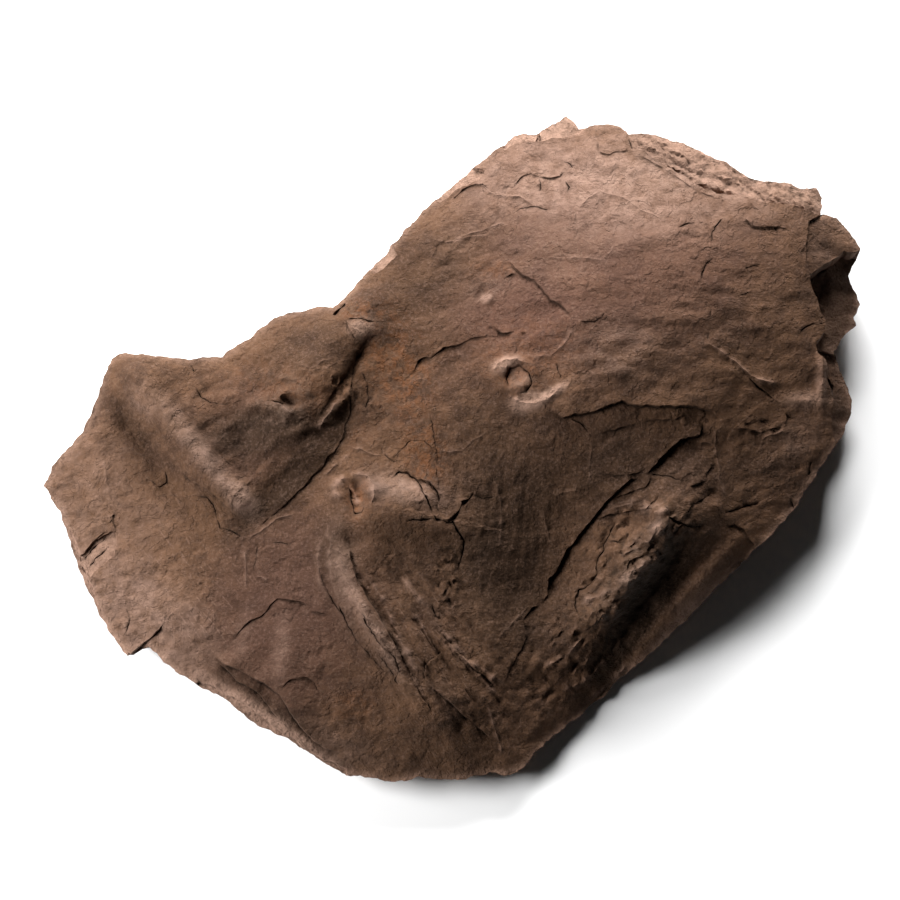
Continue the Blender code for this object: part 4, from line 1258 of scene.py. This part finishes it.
def between(low, high, value, to_low=0.0, to_high=1.0):
    """Stretch a value from one range to another, held at both ends."""
    return add_node(tree, "MapRange", {"interpolation_type": "SMOOTHSTEP"},
                    {"Value": value, "From Min": low, "From Max": high, "To Min": to_low,
                     "To Max": to_high}).outputs["Result"]


def sum_of(kind, first, second):
    """One sum of two numbers or values."""
    return add_node(tree, "Math", {"operation": kind}, {0: first, 1: second}).outputs["Value"]


def times(first, *others):
    """The product of shares and numbers."""
    for other in others:
        first = sum_of("MULTIPLY", first, other)
    return first


def blend(share, under, over):
    """Mix two colours by a share."""
    return add_node(tree, "Mix", {"data_type": "RGBA"}, {0: share, 6: under, 7: over}).outputs[2]


def plates_of(size_mm, feature):
    """Angular plates about size_mm across, their sides bent a little."""
    return add_node(tree, "TexVoronoi", {"feature": feature}, {"Vector": bent, "Scale": 1 / (size_mm * MM)})


print("shares that the finish reads:", len(masks))

# %% Colours of the siltstone
DARK_SKIN = linear("#38271d")
MID_SKIN = linear("#4c3627")
WARM_SKIN = linear("#5a4130")
PLUM_MUD = linear("#4a332b")
PAINTED_SHADE_COLOUR = linear("#1c120b")
IRON_STAIN = linear("#5e3a22")
PALE_DUST_AND_LIGHT = linear("#866c5f")
FRESH_BREAK = linear("#957868")
DIRT_AND_SHADE_COLOUR = linear("#140d09")

JOINT_SIZE = 30
CHIP_SIZE = 6.5
BEND_SIZE = 11
BEND_REACH = 12

shaken = add_node(tree, "TexNoise", None, {"Vector": where, "Scale": 1 / (BEND_SIZE * MM), "Detail": 3.0})
bent = add_node(tree, "VectorMath", {"operation": "MULTIPLY_ADD"},
                {0: shaken.outputs["Color"], 1: (BEND_REACH * MM,) * 3, 2: where}).outputs["Vector"]
joints = plates_of(JOINT_SIZE, "DISTANCE_TO_EDGE")
plates = plates_of(JOINT_SIZE, "F1")
small_plates = plates_of(CHIP_SIZE, "F1")

mottle = between(0.38, 0.62, speckle(46, 5, 0.62))
patch = between(0.42, 0.66, speckle(17, 6, 0.66))
fleck = between(0.45, 0.72, speckle(2.2, 5, 0.7))
stain = times(share_of("iron_stain"), between(0.40, 0.62, speckle(7, 6, 0.7)))
dust_and_light = times(share_of("pale_dust_and_light"), between(0.30, 0.70, speckle(9, 6, 0.7), 0.15, 0.75))
scratch = between(0.62, 0.70, speckle(1.5, 2, 0.5, (14, 1, 1), -52))
broken = times(share_of("fresh_break"), between(0.30, 0.60, speckle(6, 6, 0.7), 0.35, 1.0))
edge_on = times(share_of("beds_edge_on"), between(0.42, 0.60, speckle(3.4, 4, 0.6, (16, 16, 1))))
hairline = between(0.0, 0.018, joints.outputs["Distance"], 1.0, 0.0)
shown = between(0.52, 0.60, speckle(26, 3, 0.6))

# Each wash: its share and its colour, from the lowest up
WASHES = [
    (times(patch, 0.55), WARM_SKIN),
    (times(share_of("plum_mud"), 0.75), PLUM_MUD),
    (times(stain, 0.8), IRON_STAIN),
    # Painted shade from the shade patches.
    (times(share_of("painted_shade"), 0.8), PAINTED_SHADE_COLOUR),
    # Pale dust and painted light.
    (dust_and_light, PALE_DUST_AND_LIGHT),
    (times(fleck, 0.20), PALE_DUST_AND_LIGHT),
    (times(scratch, share_of("scuffed"), 0.25), PALE_DUST_AND_LIGHT),
    # Pale vein tone and painted highlight.
    (times(share_of("pale_vein_and_highlight"), 0.28), PALE_DUST_AND_LIGHT),
    (broken, FRESH_BREAK),
    (times(edge_on, 0.6), WARM_SKIN),
    (times(hairline, shown, 0.22), DIRT_AND_SHADE_COLOUR),
    # Dirt in cracks and painted shade.
    (times(share_of("crack_dirt_and_shade"), 0.85), DIRT_AND_SHADE_COLOUR),
]
colour = blend(mottle, DARK_SKIN, MID_SKIN)
for share, wash in WASHES:
    colour = blend(share, colour, wash)
tree.links.new(colour, shader.inputs["Base Color"])
print("washes of colour:", len(WASHES))

# %% Lustre of the siltstone
LUSTRE = {
    "Specular IOR Level": 0.22,
    "Specular Tint": linear("#ffdcbf"),
    "IOR": 1.5,
    "Metallic": 0.0,
}
worn = times(share_of("satin_wear"), between(0.35, 0.65, speckle(5, 5, 0.65), 0.5, 1.0))
dull = between(0.3, 0.7, speckle(3.2, 3, 0.7), 0.86, 0.96)
dull = sum_of("SUBTRACT", dull, times(worn, 0.56))
dull = sum_of("ADD", dull, times(share_of("fresh_break"), 0.2))
tree.links.new(dull, shader.inputs["Roughness"])
for name, value in LUSTRE.items():
    shader.inputs[name].default_value = value
print("lustre:", LUSTRE)

# %% [markdown]
# A grain of silt is a twentieth of a millimetre, too fine to show at this size. The finest layer
# of relief is the roughness that such grains leave in patches of about two millimetres. Flake
# edges, chips and wrinkles lie below it, each with a real depth, and the wrinkles follow the run
# of the toe or heel that they cross.

# %% Fine grain of the siltstone
def bump(height, depth_mm, under=None, invert=False):
    """Add a layer of fine relief of a real depth on top of another."""
    inputs = {"Height": height, "Distance": depth_mm * MM, "Strength": 1.0}
    if under is not None:
        inputs["Normal"] = under
    return add_node(tree, "Bump", {"invert": invert}, inputs).outputs["Normal"]


def flake_edges(size_mm, beds, stretch=(1, 1, 1), turn=0.0):
    """Gentle slopes that each end in a sharp edge, like the rims of thin beds."""
    bed = times(speckle(size_mm, 4, 0.62, stretch, turn, 0.5), beds)
    part = sum_of("FRACT", bed, 0.0)
    return sum_of("SUBTRACT", between(0.46, 0.54, part), part)


flat_chips = times(small_plates.outputs["Color"], between(0.50, 0.56, speckle(14, 4, 0.6)))

# Each layer: its height and its depth in mm, from the lowest up
GRAIN = [
    (speckle(6.0, 4, 0.66), 1.0),
    (times(flake_edges(30, 8, (1.4, 1, 1), 12), share_of("flaky")), 0.38),
    (times(flat_chips, share_of("flaky")), 0.8),
    (times(share_of("level_grain"), speckle(1.5, 3, 0.6, (9, 1, 1), 4)), 0.3),
    (times(share_of("upright_grain"), speckle(1.4, 3, 0.6, (9, 1, 1), 86)), 0.6),
    (times(share_of("slant_grain"), speckle(1.5, 3, 0.6, (9, 1, 1), -57)), 0.9),
    (times(plates.outputs["Color"], shown), 1.0),
    (speckle(1.9, 4, 0.8), 0.85),
    (times(share_of("fresh_break"), speckle(3.0, 4, 0.8)), 2.2),
]
relief = None
for height, depth in GRAIN:
    relief = bump(height, depth, relief)
relief = bump(edge_on, 1.2, relief, invert=True)
tree.links.new(relief, shader.inputs["Normal"])

stone.data.materials.clear()
stone.data.materials.append(siltstone)
print("nodes in the siltstone:", len(tree.nodes))

# %% [markdown]
# The floor is plain and pale, and is only the stage. Two soft boxes stand low, one at the left and
# a stronger one behind. Their low light draws every ledge with a shadow toward the lower right,
# and their size gives the shadow on the floor its soft edge.

# %% Floor
FLOOR_WIDTH = 12
bpy.ops.mesh.primitive_plane_add(size=FLOOR_WIDTH, location=(0, 0, 0))
floor = bpy.context.object
floor.name = "floor"
paper = bpy.data.materials.new("white_paper")
paper.use_nodes = True
for name, value in {"Base Color": linear("#f6f6f6"), "Roughness": 0.9, "Specular IOR Level": 0.0}.items():
    paper.node_tree.nodes["Principled BSDF"].inputs[name].default_value = value
floor.data.materials.append(paper)
floor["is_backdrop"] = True
print("floor width in metres:", floor.dimensions.x)

# %% Lights
BOX_DISTANCE = 1.5
BOX_SIZE = 0.75
ROOM_LIGHT = 0.015


def soft_light(name, azimuth, elevation, power):
    """A square soft box that looks at the middle of the slab."""
    turn, rise = math.radians(azimuth), math.radians(elevation)
    way = Vector((math.cos(rise) * math.cos(turn), math.cos(rise) * math.sin(turn), math.sin(rise)))
    bpy.ops.object.light_add(type="AREA", location=way * BOX_DISTANCE)
    light = bpy.context.object
    light.name = name
    light.rotation_euler = way.to_track_quat("Z", "Y").to_euler()
    light.data.size = BOX_SIZE
    light.data.energy = power
    return light


soft_light("left_light", azimuth=180, elevation=29, power=51)
soft_light("back_light", azimuth=85, elevation=23, power=80)
world = bpy.data.worlds.new("room")
world.use_nodes = True
world.node_tree.nodes["Background"].inputs["Color"].default_value = (1, 1, 1, 1)
world.node_tree.nodes["Background"].inputs["Strength"].default_value = ROOM_LIGHT
bpy.context.scene.world = world
bpy.context.scene.view_settings.view_transform = "Standard"

# %% [markdown]
# The finer stone stands for the plain solid, rides on the slab's one body, and takes its finish
# from the siltstone slot. The two boxes are written down so that their sizes can be compared.

# %% Hand over
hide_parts(NODE)
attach(stone, "root")
sizes = {"cad": [list(corner) for corner in cad_box], "visual": [list(corner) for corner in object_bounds()]}
print("boxes in metres:", sizes)
